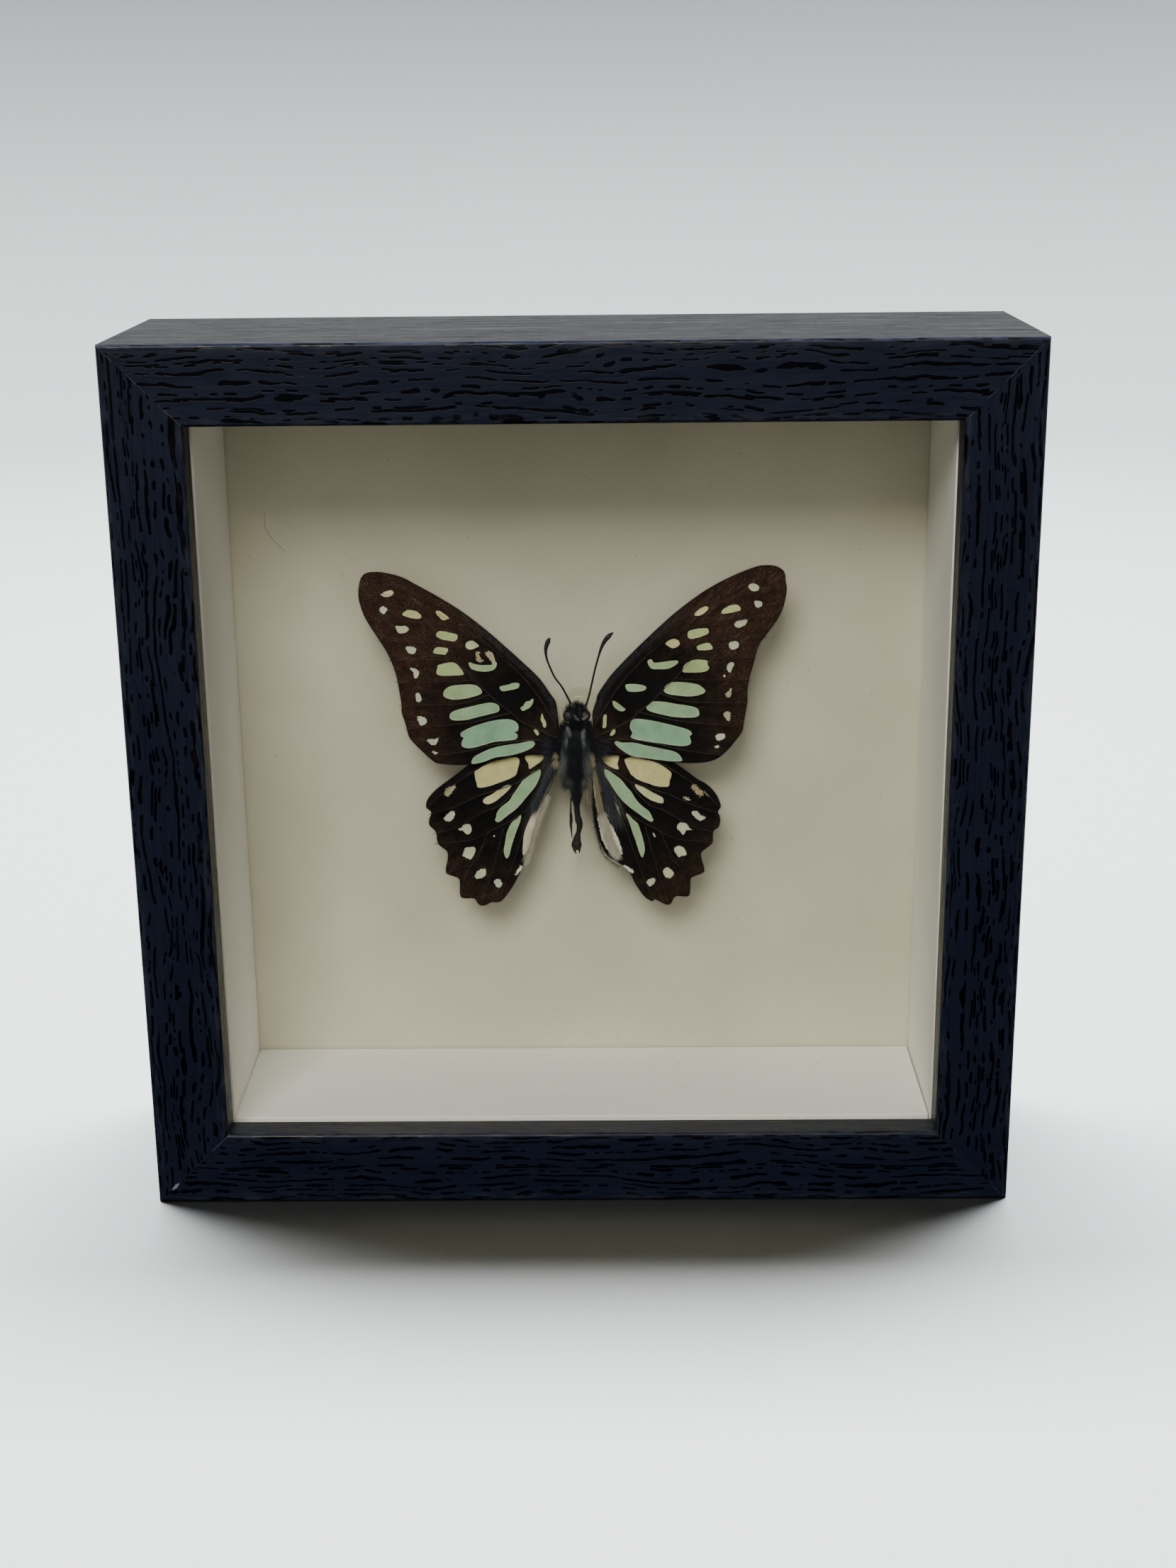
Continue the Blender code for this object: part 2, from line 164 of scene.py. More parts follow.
def tube(rings, **values):
    """Closed part through rings of points: faces between the rings, and a middle point closes each end.

    A value given for each ring is held by all its points.
    """
    rows, columns = rings.shape[:2]
    points = np.concatenate((rings.reshape(-1, 3), rings[[0, -1]].mean(1)))
    column = np.arange(columns)
    after = (column + 1) % columns
    low, high, last = rows * columns, rows * columns + 1, (rows - 1) * columns
    first_cap = np.stack((np.full(columns, low), after, column), -1)
    last_cap = np.stack((np.full(columns, high), last + column, last + after), -1)
    held = {}
    for name, value in values.items():
        value = np.broadcast_to(np.asarray(value, float).reshape(-1, 1), (rows, columns))
        held[name] = np.concatenate((value.ravel(), value[[0, -1], 0]))
    return points, [grid_faces(rows, columns), first_cap, last_cap], held


def joined(parts):
    """Several parts as one: points and values end to end, faces counted on from the points before."""
    points, faces, values = [], [], {}
    count = 0
    for part_points, part_faces, part_values in parts:
        points.append(part_points)
        faces += [face + count for face in part_faces]
        for name, value in part_values.items():
            values.setdefault(name, []).append(value)
        count += len(part_points)
    return np.concatenate(points), faces, {n: np.concatenate(v) for n, v in values.items()}


def make_piece(name, part, finishes, replaces=(), finish_index=None, flat=False):
    """Put a part, in millimetres, into the scene as one piece that rides on the frame.

    Faces all turn over if the volume they close comes out negative, so that they point outwards.
    """
    points, faces, values = part
    points = place(points)
    corners = np.concatenate([face.ravel() for face in faces])
    sizes = np.concatenate([np.full(len(face), face.shape[1]) for face in faces])
    volume = 0.0
    for face in faces:
        first = points[face[:, 0]]
        for k in range(1, face.shape[1] - 1):
            volume += np.einsum("ij,ij->", first, np.cross(points[face[:, k]], points[face[:, k + 1]]))
    if volume < 0:
        corners = np.concatenate([face[:, ::-1].ravel() for face in faces])
    mesh = bpy.data.meshes.new(name)
    mesh.vertices.add(len(points))
    mesh.vertices.foreach_set("co", points.astype(np.float32).ravel())
    mesh.loops.add(len(corners))
    mesh.loops.foreach_set("vertex_index", corners.astype(np.int32))
    mesh.polygons.add(len(sizes))
    mesh.polygons.foreach_set("loop_start", np.concatenate(([0], np.cumsum(sizes)[:-1])).astype(np.int32))
    if finish_index is not None:
        mesh.polygons.foreach_set("material_index", finish_index.astype(np.int32))
    mesh.update(calc_edges=True)
    for finish in finishes:
        mesh.materials.append(finish)
    for key, value in values.items():
        kind = "FLOAT" if value.ndim == 1 else "FLOAT_VECTOR"
        stored = mesh.attributes.new(key, kind, "POINT")
        stored.data.foreach_set("value" if value.ndim == 1 else "vector", value.astype(np.float32).ravel())
    if not flat:
        mesh.shade_smooth()
        mesh.set_sharp_from_angle(angle=SHARP_ANGLE)
    piece = bpy.data.objects.new(name, mesh)
    bpy.context.scene.collection.objects.link(piece)
    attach(piece, "root")
    if replaces:
        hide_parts(*replaces)
    return piece


# ---------------------------------------------------------------- materials

def colour(text):
    """Linear colour from an sRGB hex value."""
    parts = np.array([int(text[i:i + 2], 16) for i in (1, 3, 5)]) / 255
    linear = np.where(parts <= 0.04045, parts / 12.92, ((parts + 0.055) / 1.055) ** 2.4)
    return (*linear.tolist(), 1.0)


def feed(tree, node, inputs):
    """Set or link a node's inputs, by name, or in the order of the ones in use.

    A hex value stands for its colour, and a (point, scales) pair for the point stretched along the axes.
    """
    shown = [socket for socket in node.inputs if socket.enabled]
    named = inputs.items() if isinstance(inputs, dict) else enumerate(inputs)
    for key, value in named:
        socket = shown[key] if isinstance(key, int) else next(s for s in shown if s.name == key)
        if isinstance(value, tuple) and isinstance(value[0], bpy.types.NodeSocket):
            value = add_node(tree, "Mapping", {"Vector": value[0], "Scale": value[1]})
        if isinstance(value, bpy.types.NodeSocket):
            tree.links.new(value, socket)
        else:
            socket.default_value = colour(value) if isinstance(value, str) else value


def add_node(tree, kind, inputs=(), output=0, stops=(), **settings):
    """Add a node with its settings, ramp stops and inputs, and return one of its outputs.

    A kind may name the node's operation, or the data type that it mixes, after a point.
    """
    kind, _, mode = kind.partition(".")
    node = tree.nodes.new("ShaderNode" + kind)
    if mode:
        setattr(node, "data_type" if kind == "Mix" else "operation", mode)
    for key, value in settings.items():
        setattr(node, key, value)
    if stops:
        elements = node.color_ramp.elements
        while len(elements) < len(stops):
            elements.new(0.5)
        for element, (position, text) in zip(elements, stops):
            element.position = position
            element.color = colour(text)
    feed(tree, node, inputs)
    shown = [socket for socket in node.outputs if socket.enabled]
    return shown[output] if isinstance(output, int) else node.outputs[output]


def new_material(name):
    """An empty finish, its own way to add a node, and Object coordinates turned to millimetres."""
    made = bpy.data.materials.new(name)
    made.use_nodes = True
    add = functools.partial(add_node, made.node_tree)
    where = add("TexCoord", output="Object")
    where = add("Mapping", {"Vector": where, "Scale": (1 / MM, 1 / MM, 1 / MM)})
    return made, add, where


def finished(made, base, rough, specular, relief=None, others=()):
    """Feed a finish's own shader with its look, and give the finish back.

    Relief is (strength, depth in mm, height), where the height runs from 0 to 1 over the depth.
    """
    inputs = {"Base Color": base, "Roughness": rough, "Specular IOR Level": specular, **dict(others)}
    if relief:
        strength, depth, height = relief
        bump = {"Strength": strength, "Distance": depth * MM, "Height": height}
        inputs["Normal"] = add_node(made.node_tree, "Bump", bump)
    feed(made.node_tree, made.node_tree.nodes["Principled BSDF"], inputs)
    return made


def pass_lamp_light(made, add, tint):
    """Let lamp light and soft bounced light run straight through a clear finish, only tinted."""
    passing = add("LightPath").node.outputs
    passing = add("Math.MAXIMUM", (passing["Is Shadow Ray"], passing["Is Diffuse Ray"]))
    shader = made.node_tree.nodes["Principled BSDF"].outputs[0]
    blend = add("MixShader", (passing, shader, add("BsdfTransparent", {"Color": tint})))
    out = next(node for node in made.node_tree.nodes if node.type == "OUTPUT_MATERIAL")
    made.node_tree.links.new(blend, out.inputs["Surface"])


def foil_wrap():
    """Printed foil wrapped on board, pressed with open wood pores.

    A satin blue-black skin, with long near-black pores that dip into it. Edges turn grey, partly rubbed
    wear and partly a painted highlight where the rounded edges catch light, and the outer sides are
    plain near-black with fine long light streaks, partly scuffs and partly a painted sheen.
    """
    made, add, where = new_material("foil_wrap_pressed_wood_pores")
    skin = add("Attribute", (), "Vector", attribute_name="skin")
    drift = add(NOISE, ((skin, (0.045, 0.12, 1)), 1.0, 1.0))
    wobble = add(NOISE, ((skin, (0.3, 0.4, 1)), 1.0, 1.0))
    skin_along, skin_around, _ = add("SeparateXYZ", (skin,)).node.outputs
    pores = None
    # row pitch, pore length and half width in mm, and a shift that keeps the layers apart
    for pitch, length, half_width, shift in ((1.3, 3.2, 0.22, 0.0), (1.75, 6.4, 0.24, 37.0)):
        bent = add("Math.MULTIPLY_ADD", (drift, 5.0, skin_around))
        bent = add("Math.MULTIPLY_ADD", (wobble, 0.8, bent))
        row = add("Math.MULTIPLY_ADD", (bent, 1 / pitch, shift))
        number = add("Math.FLOOR", (row,))
        spread = add("TexWhiteNoise", {"W": number}, noise_dimensions="1D")
        centre = add("Math.MULTIPLY_ADD", (spread, 0.4, 0.3))
        off = add("Math.SUBTRACT", (add("Math.FRACT", (row,)), centre))
        off = add("Math.MULTIPLY", (add("Math.ABSOLUTE", (off,)), pitch))
        along = add("Math.MULTIPLY", (skin_along, 1 / length))
        apart = add("Math.MULTIPLY_ADD", (number, 13.7, shift))
        stretch = add(NOISE, (add("CombineXYZ", (along, apart)), 1.0, 1.0))
        width = add("Math.POWER", (add(RANGE, (stretch, 0.50, 0.54)), 0.45))
        width = add("Math.MULTIPLY", (width, half_width))
        depth = add("Math.SUBTRACT", (width, off))
        pores = depth if pores is None else add("Math.MAXIMUM", (pores, depth))
    pore = add(RANGE, (pores, -0.03, 0.04), interpolation_type="SMOOTHSTEP")
    fine = add(NOISE, (where, 5.0, 2.0))
    ground = add("Mix.RGBA", (add(NOISE, (where, 0.06, 3.0)), "#0b1122", "#161b2e"))
    ground = add("Mix.RGBA", (pore, ground, "#020208"))
    outer = add("Attribute", (), "Fac", attribute_name="outer")
    ground = add("Mix.RGBA", (outer, ground, "#101116"))
    # fine long light streaks on the outer sides: partly scuffs, partly a painted sheen like a grazing
    # reflection
    scuffs_and_sheen = add(NOISE, ((skin, (0.035, 2.6, 1)), 1.0, 5.0, 0.7))
    scuffs_and_sheen = add("Math.MULTIPLY", (add(RANGE, (scuffs_and_sheen, 0.42, 0.68, 0.0, 0.3)), outer))
    ground = add("Mix.RGBA", (scuffs_and_sheen, ground, "#716f69"))
    # a pale line along each mitre: partly foil worn at the joint, partly a painted highlight on its edge
    mitre = add("Attribute", (), "Fac", attribute_name="mitre")
    patchy = add(RANGE, (add(NOISE, (where, 0.35, 3.0)), 0.45, 0.62))
    worn = add("Math.MULTIPLY", (add(RANGE, (mitre, 0.09, 0.01)), patchy))
    # grey along the front edge and the lip's edge: partly rubbed wear, partly a painted highlight where the
    # rounded edges catch light
    edge = add("Attribute", (), "Fac", attribute_name="edge")
    edge_wear_and_highlight = add(NOISE, ((skin, (0.16, 1.4, 1)), 1.0, 4.0, 0.65))
    edge_wear_and_highlight = add("Math.MULTIPLY", (add(RANGE, (edge_wear_and_highlight, 0.46, 0.66)), edge))
    shade = ground
    for share, tint in ((edge_wear_and_highlight, "#565a66"), (worn, "#7d8496")):
        share = add("Math.MULTIPLY", (share, 0.35))
        shade = add("Mix.RGBA", (share, shade, tint))
    # a nick at one corner: a turned, drawn-out ball whose edge the fine noise crumbles
    chip = add("VectorMath.SUBTRACT", (where, CHIP_PLACE))
    chip = add("Mapping", {"Vector": chip, "Rotation": (0, 0.8, 0)})
    chip = add("VectorMath.MULTIPLY", (chip, (0.55, 1.0, 1.7)))
    chip = add("VectorMath.LENGTH", (chip,), "Value")
    chip = add(RANGE, (add("Math.MULTIPLY_ADD", (fine, 1.1, chip)), 1.06, 0.96))
    shade = add("Mix.RGBA", (chip, shade, "#7c7e86"))
    brush = add(NOISE, ((skin, (0.22, 3.2, 1)), 1.0, 3.0))
    wide = add(NOISE, ((skin, (0.05, 0.5, 1)), 1.0, 4.0, 0.6))
    rough = add(RANGE, (add("Math.ADD", (brush, wide)), 0.75, 1.25, 0.34, 0.6))
    rough = add("Mix.FLOAT", (pore, rough, 0.34))
    height = add("Math.MULTIPLY", (fine, 0.12))
    height = add("Math.MULTIPLY_ADD", (pore, -1.0, height))
    height = add("Math.MULTIPLY_ADD", (brush, 0.25, height))
    return finished(made, shade, rough, 0.27, (0.5, 0.03, height))


def raw_fibreboard():
    """Medium-density fibreboard, sawn: the matt tan of pressed wood dust, with short darker fibres.

    The dust is about 0.5 mm across, and the saw leaves lines 0.5 mm wide and 3 mm long.
    """
    made, add, where = new_material("fibreboard_sawn")
    dust = add(NOISE, (where, 2.2, 6.0, 0.7))
    saw = add(NOISE, ((where, (0.3, 2.0, 0.3)), 1.0, 2.0))
    tone = add("Math.ADD", (dust, saw))
    base = add(RAMP, (add("Math.MULTIPLY", (tone, 0.5)),),
               stops=((0.3, "#7d6244"), (0.5, "#a98a63"), (0.7, "#c0a27a")))
    return finished(made, base, 0.85, 0.3, (0.5, 0.1, tone))


def float_glass():
    """Float glass, 2 mm: clear, with a faint veil of reflection; lamp light passes straight through."""
    made, add, _ = new_material("float_glass_clear")
    pass_lamp_light(made, add, "#fdfefd")
    return finished(made, "#fbfdfc", 0.0, 0.12, others={"IOR": 1.5, "Transmission Weight": 1.0})


def paper_card(name, light, dark, fleck, tooth):
    """Paper-faced card, calendered: matt, faintly clouded, with a fine tooth and a few pulp flecks.

    A cloud is 20 mm wide, the tooth 0.3 mm, and flecks lie 4 to 5 mm apart.
    """
    made, add, where = new_material(name)
    cloud = add(RANGE, (add(NOISE, (where, 0.05, 4.0)), 0.3, 0.7))
    base = add("Mix.RGBA", (cloud, dark, light))
    pulp = add(NOISE, (where, 3.0, 5.0, 0.7))
    flecks = add(RANGE, (add("TexVoronoi", (where, 0.22), "Distance"), 0.05, 0.02))
    base = add("Mix.RGBA", (add("Math.MULTIPLY", (flecks, 0.5)), base, fleck))
    base = add("VectorMath.SCALE", (base, add(RANGE, (pulp, 0.3, 0.7, 0.95, 1.04))))
    return finished(made, base, 0.85, 0.25, (0.5, tooth, pulp))


def hardboard():
    """Hardboard, wet-pressed: dark brown with a faint mesh print and long pale fibres.

    Fibres are 0.4 mm wide and 2 mm long, and the mesh has a pitch of 1.1 mm.
    """
    made, add, where = new_material("hardboard_pressed")
    fibres = add(NOISE, ((where, (0.5, 1.0, 2.6)), 1.0, 6.0, 0.7))
    screen = add("TexVoronoi", {"Vector": where, "Scale": 0.9, "Randomness": 0.1}, "Distance")
    base = add(RAMP, (fibres,), stops=((0.3, "#4b3322"), (0.52, "#6d4c31"), (0.72, "#8a6644")))
    height = add("Math.MULTIPLY_ADD", (screen, 0.6, fibres))
    return finished(made, base, 0.72, 0.35, (0.5, 0.15, height))


def zinc_steel():
    """Mild steel, zinc plated and stamped: bright grey with soft spangle and fine rubbed lines.

    A spangle is a little over 1 mm across, and the rubbed lines lie 0.1 mm apart.
    """
    made, add, where = new_material("steel_zinc_plated")
    spangle = add("Math.MULTIPLY", (add("TexVoronoi", (where, 0.8), "Color"), 0.35))
    lines = add(NOISE, ((where, (0.5, 1.0, 9.0)), 1.0, 3.0))
    base = add("Mix.RGBA", (spangle, "#b9bcc0", "#93979d"))
    rough = add(RANGE, (lines, 0.3, 0.7, 0.28, 0.46))
    return finished(made, base, rough, 0.5, (0.3, 0.03, lines), {"Metallic": 1.0})


def clear_glue():
    """Clear resin adhesive, cast as a round foot: see-through, barely yellow, rippled every 2 mm."""
    made, add, where = new_material("clear_resin_cast")
    pass_lamp_light(made, add, "#fbfbf8")
    ripple = add(NOISE, (where, 0.5, 2.0))
    clear = {"IOR": 1.3, "Transmission Weight": 1.0}
    return finished(made, "#fcfcf8", 0.03, 0.5, (0.3, 0.15, ripple), clear)


def wing_scales():
    """Wing membrane under overlapping scales.

    Matt black-brown with streaks that run out from the wing's root; the pale windows are nearly
    bare of scales and a little smoother, with ragged edges where single scales overlap them. A
    scale is 0.1 mm wide and too fine to show, so rows of scales are drawn 0.15 to 0.4 mm apart;
    a streak is 0.3 mm wide and 4 mm long, and wear lies in patches 2 mm across.
    """
    made, add, where = new_material("wing_membrane_scaled")
    ray = add("Attribute", (), "Vector", attribute_name="ray")
    read = {key: add("Attribute", (), "Fac", attribute_name=key)
            for key in ("window", "tone", "ragged", "brown", "costa", "silk", "rim")}
    streak = add(NOISE, ((ray, (3.4, 0.22, 1)), 1.0, 3.0, 0.6))
    scales = add(NOISE, ((ray, (6.5, 3.0, 1)), 1.0, 2.0))
    blotch = add(NOISE, (where, 0.45, 3.0))
    rows = add(NOISE, (where, 2.6, 2.0))
    grit = add(NOISE, (where, 6.0, 2.0))
    # the dark field: black in the cells, brown with tan streaks and dust where scales have worn
    worn = add("Math.SUBTRACT", (read["brown"], 0.45))
    worn = add(RANGE, (add("Math.MULTIPLY_ADD", (blotch, 0.9, worn)), 0.0, 1.0))
    ground = add(RAMP, (worn,), stops=((0.0, "#030305"), (0.35, "#080505"), (1.0, "#2c1d16")))
    bare = add("Math.MULTIPLY", (worn, worn))
    lit = add("Math.MULTIPLY_ADD", (bare, 0.34, 0.02))
    lit = add("Math.MULTIPLY", (add(RANGE, (streak, 0.55, 0.75)), lit))
    dust = add("Math.MULTIPLY", (add(RANGE, (grit, 0.58, 0.68)), bare))
    lit = add("Math.MULTIPLY_ADD", (dust, 0.85, lit), use_clamp=True)
    ground = add("Mix.RGBA", (lit, ground, "#6b5546"))
    ground = add("VectorMath.SCALE", (ground, add(RANGE, (scales, 0.3, 0.72, 0.72, 1.35))))
    pepper = add("Math.MULTIPLY", (add(RANGE, (grit, 0.45, 0.6)), read["costa"]))
    pepper = add("Math.MULTIPLY", (pepper, 0.7))
    ground = add("Mix.RGBA", (pepper, ground, "#403f42"))
    silky = add(RAMP, (streak,), stops=((0.3, "#121216"), (0.5, "#3a3a3e"), (0.66, "#77726c"),
                                        (0.8, "#a09a8d")))
    ground = add("Mix.RGBA", (read["silk"], ground, silky))
    # the windows: one tone each, a little uneven, flecked, with a lighter rim
    pale = add(RAMP, (read["tone"],), stops=((0.0, "#93bb9e"), (0.2, "#b4c58c"), (0.4, "#dcd198"),
                                             (0.6, "#c8d2b9"), (0.8, "#9b7b45"), (1.0, "#efeadb")))
    pale = add("VectorMath.SCALE", (pale, add(RANGE, (blotch, 0.3, 0.7, 0.84, 1.1))))
    pale = add("Mix.RGBA", (add(RANGE, (rows, 0.67, 0.78, 0.0, 0.35)), pale, "#5f6b4c"))
    rim = add(RANGE, (read["window"], 0.28, 0.0, 0.0, 0.35))
    pale = add("Mix.RGBA", (rim, pale, "#d9dcb6"))
    tear = add("Math.SUBTRACT", (scales, 0.5))
    tear = add("Math.MULTIPLY_ADD", (tear, read["ragged"], read["window"]))
    shown = add(RANGE, (tear, -0.05, 0.05), interpolation_type="SMOOTHSTEP")
    base = add("Mix.RGBA", (shown, ground, pale))
    dark_rim = add(RANGE, (read["rim"], 0.3, 0.05, 0.0, 0.6))
    dark_rim = add("Math.MULTIPLY", (dark_rim, add("Math.SUBTRACT", (1.0, shown))))
    base = add("Mix.RGBA", (dark_rim, base, "#0a0708"))
    rough = add("Mix.FLOAT", (shown, 0.68, 0.5))
    height = add("Math.MULTIPLY_ADD", (streak, 0.6, scales))
    height = add("Math.MULTIPLY", (height, add("Math.SUBTRACT", (1.15, shown))))
    return finished(made, base, rough, 0.1, (0.5, 0.06, height))


def vein_chitin():
    """Wing veins, hollow chitin tubes thinly scaled: a little lighter and browner than the wing.

    Worn spots are 0.6 mm long.
    """
    made, add, where = new_material("wing_vein_chitin")
    reach = add("Attribute", (), "Fac", attribute_name="reach")
    worn = add(RANGE, (add(NOISE, (where, 1.6, 3.0)), 0.35, 0.65))
    base = add("Mix.RGBA", (worn, "#140e10", "#41322a"))
    base = add("Mix.RGBA", (add("Math.MULTIPLY", (reach, 0.5)), base, "#241914"))
    return finished(made, base, 0.5, 0.35, (0.4, 0.03, worn))


def insect_shell():
    """Dried insect cuticle: blue-black to brown-black, wrinkled every 0.4 mm, with a low waxy gloss."""
    made, add, where = new_material("cuticle_dried")
    warm = add("Attribute", (), "Fac", attribute_name="warm")
    wrinkle = add(NOISE, (where, 2.4, 5.0, 0.6))
    cool = add(RAMP, (wrinkle,), stops=((0.3, "#04060a"), (0.55, "#0b0f16"), (0.75, "#1b2128")))
    brown = add(RAMP, (wrinkle,), stops=((0.3, "#0f0b0a"), (0.55, "#231a15"), (0.75, "#40322a")))
    base = add("Mix.RGBA", (warm, cool, brown))
    return finished(made, base, 0.55, 0.35, (0.7, 0.12, wrinkle))


def compound_eye():
    """Dried compound eye: grey-brown, close-set facets drawn 0.09 mm apart, coarse enough to show."""
    made, add, where = new_material("compound_eye_dried")
    facets = add("TexVoronoi", (where, 11.0), "Distance")
    cloud = add(NOISE, (where, 1.3, 3.0))
    base = add(RAMP, (cloud,), stops=((0.3, "#151112"), (0.55, "#292224"), (0.75, "#3c3336")))
    return finished(made, base, 0.5, 0.3, (0.5, 0.03, facets))


def insect_hair():
    """Fine scale-hairs: blue-black to slate to cream by shade value; painted shade at roots, painted light
    at tips.
    """
    made, add, _ = new_material("scale_hair")
    shade, tip = (add("Attribute", (), "Fac", attribute_name=key) for key in ("shade", "tip"))
    base = add(RAMP, (shade,), stops=((0.0, "#06090f"), (0.25, "#1a212b"), (0.45, "#424954"),
                                      (0.6, "#7b7d7e"), (0.75, "#a3a59f"), (0.88, "#c4ab76"),
                                      (1.0, "#faf6ea")))
    # painted shade at the roots and painted light at the tips: colour scaled from 0.7 to 1.15 along each
    # hair
    base = add("VectorMath.SCALE", (base, add(RANGE, (tip, 0.0, 1.0, 0.7, 1.15))))
    return finished(made, base, 0.55, 0.3)


def studio_paper():
    """Matt seamless paper for the stage: near-white with a faint wide cloud, and painted shade greying the
    wall upwards.
    """
    made, add, where = new_material("seamless_paper_matt")
    base = add("Mix.RGBA", (add(NOISE, (where, 0.004, 2.0)), "#e3e6e4", "#e9eae7"))
    # painted shade: the paper greys from 20 mm to 330 mm up, standing in for light that falls off with
    # height
    rise = add(RANGE, (add("SeparateXYZ", (where,), "Z"), 20.0, 330.0), interpolation_type="SMOOTHSTEP")
    base = add("Mix.RGBA", (rise, base, "#a6a8a8"))
    return finished(made, base, 0.9, 0.1)


FOIL = foil_wrap()
FIBREBOARD = raw_fibreboard()
GLASS = float_glass()
SPACER_CARD = paper_card("spacer_card_white", "#f9f8f4", "#f3f2ee", "#8c8578", 0.05)
MOUNT_CARD = paper_card("mount_board_cream", "#d8d3c0", "#cfcab6", "#8d826a", 0.07)
HARDBOARD = hardboard()
STEEL = zinc_steel()
GLUE = clear_glue()
WING = wing_scales()
VEIN = vein_chitin()
SHELL = insect_shell()
EYE = compound_eye()
HAIR = insect_hair()
PAPER = studio_paper()


# ---------------------------------------------------------------- frame

# rows of points along a rail, crowded to its ends, and the reach of the grey edge: wear and painted
# highlight
RAIL_ROWS = 61
ROWS_CROWD_ENDS = 1.3
EDGE_WEAR_AND_HIGHLIGHT_WIDTH = 0.8
# what keeps the foil's pattern apart from one rail to the next, along and round
SKIN_SHIFT = (500, 90)
# cut edges of card and board, and the ring that keeps a broad face flat
CARD_EDGE_ROUND = 0.18
BOARD_EDGE_ROUND = 0.2
FLAT_RING_INSET = 0.4


def corner_arc(corner, before, after, radius, steps=8):
    """Quarter circle that rounds a square corner of a profile, from the side before it to the side after."""
    corner, before, after = (np.array(p, float) for p in (corner, before, after))
    first = (before - corner) / np.linalg.norm(before - corner) * radius
    last = (after - corner) / np.linalg.norm(after - corner) * radius
    angle = np.linspace(0, math.pi / 2, steps + 1)[:, None]
    return corner + first + last - last * np.cos(angle) - first * np.sin(angle)


def rail_section():
    """The moulding's section as (inward, depth) points, and which of them are foil-wrapped."""
    front, lip_front, lip_back = (0, 0), (RAIL_FACE, 0), (RAIL_FACE, LIP_THICKNESS)
    rebate, wall_back, back = (RAIL_WALL, LIP_THICKNESS), (RAIL_WALL, FRAME_DEPTH), (0, FRAME_DEPTH)
    outer = np.array([(0, d) for d in np.linspace(FRAME_DEPTH - 2, 2, 14)])
    face = np.array([(w, 0) for w in np.linspace(2, RAIL_FACE - 1.2, 10)])
    wrapped = np.vstack((
        corner_arc(back, wall_back, front, BACK_ROUND), outer,
        corner_arc(front, back, lip_front, OUTER_ROUND), face,
        corner_arc(lip_front, front, lip_back, LIP_ROUND), [lip_back],
    ))
    bare = np.array((rebate, wall_back))
    return np.vstack((wrapped, bare)), len(wrapped)


def build_rails():
    """Four mitred lengths of moulding.

    A rail is its section carried straight along the frame's side, with each line of it cut off
    where the square's diagonal crosses it: half length = half the frame less the inward distance.
    Its skin coordinate runs along the rail and round the section, and starts anew on each rail.
    """
    section, wrapped = rail_section()
    columns = len(section)
    around = np.concatenate(([0], np.cumsum(np.linalg.norm(np.diff(section, axis=0), axis=1))))
    reach = np.linspace(-1, 1, RAIL_ROWS)
    reach = np.sign(reach) * (1 - (1 - np.abs(reach)) ** ROWS_CROWD_ENDS)
    half_length = HALF - section[:, 0] - MITRE_GAP
    along = reach[:, None] * half_length
    inward = np.broadcast_to(section[:, 0], along.shape)
    depth = np.broadcast_to(section[:, 1], along.shape)
    corner_gap = np.minimum(section[:, 0], abs(section[:, 0] - RAIL_FACE))
    edge = np.exp(-np.hypot(corner_gap, section[:, 1]) / EDGE_WEAR_AND_HIGHLIGHT_WIDTH)
    outer = smoothstep(0.5, 0.1, section[:, 0]) * smoothstep(0.2, 0.8, section[:, 1])
    for turn, side in enumerate(("bottom", "right", "top", "left")):
        angle = turn * math.pi / 2
        across = along * math.cos(angle) - (inward - HALF) * math.sin(angle)
        up = along * math.sin(angle) + (inward - HALF) * math.cos(angle)
        points = np.stack((across, up, depth), -1)
        skin = np.stack((along + SKIN_SHIFT[0] * turn,
                         np.broadcast_to(around, along.shape) + SKIN_SHIFT[1] * turn,
                         np.zeros_like(along)), -1)
        mitre = half_length - np.abs(along)
        values = {
            "skin": skin.reshape(-1, 3), "mitre": mitre.ravel(),
            "edge": np.broadcast_to(edge, along.shape).ravel(),
            "outer": np.broadcast_to(outer, along.shape).ravel(),
        }
        rows = len(along)
        sides = grid_faces(rows, columns)
        ends = np.arange(columns)
        caps = np.stack((ends[::-1], ends + (rows - 1) * columns))
        is_bare = sides[:, 0] % columns >= wrapped - 1
        finish_index = np.concatenate((is_bare.astype(int), [1, 1]))
        make_piece(f"moulding_{side}", (points.reshape(-1, 3), [sides, caps], values), (FOIL, FIBREBOARD),
                   (f"rail_{side}",), finish_index)


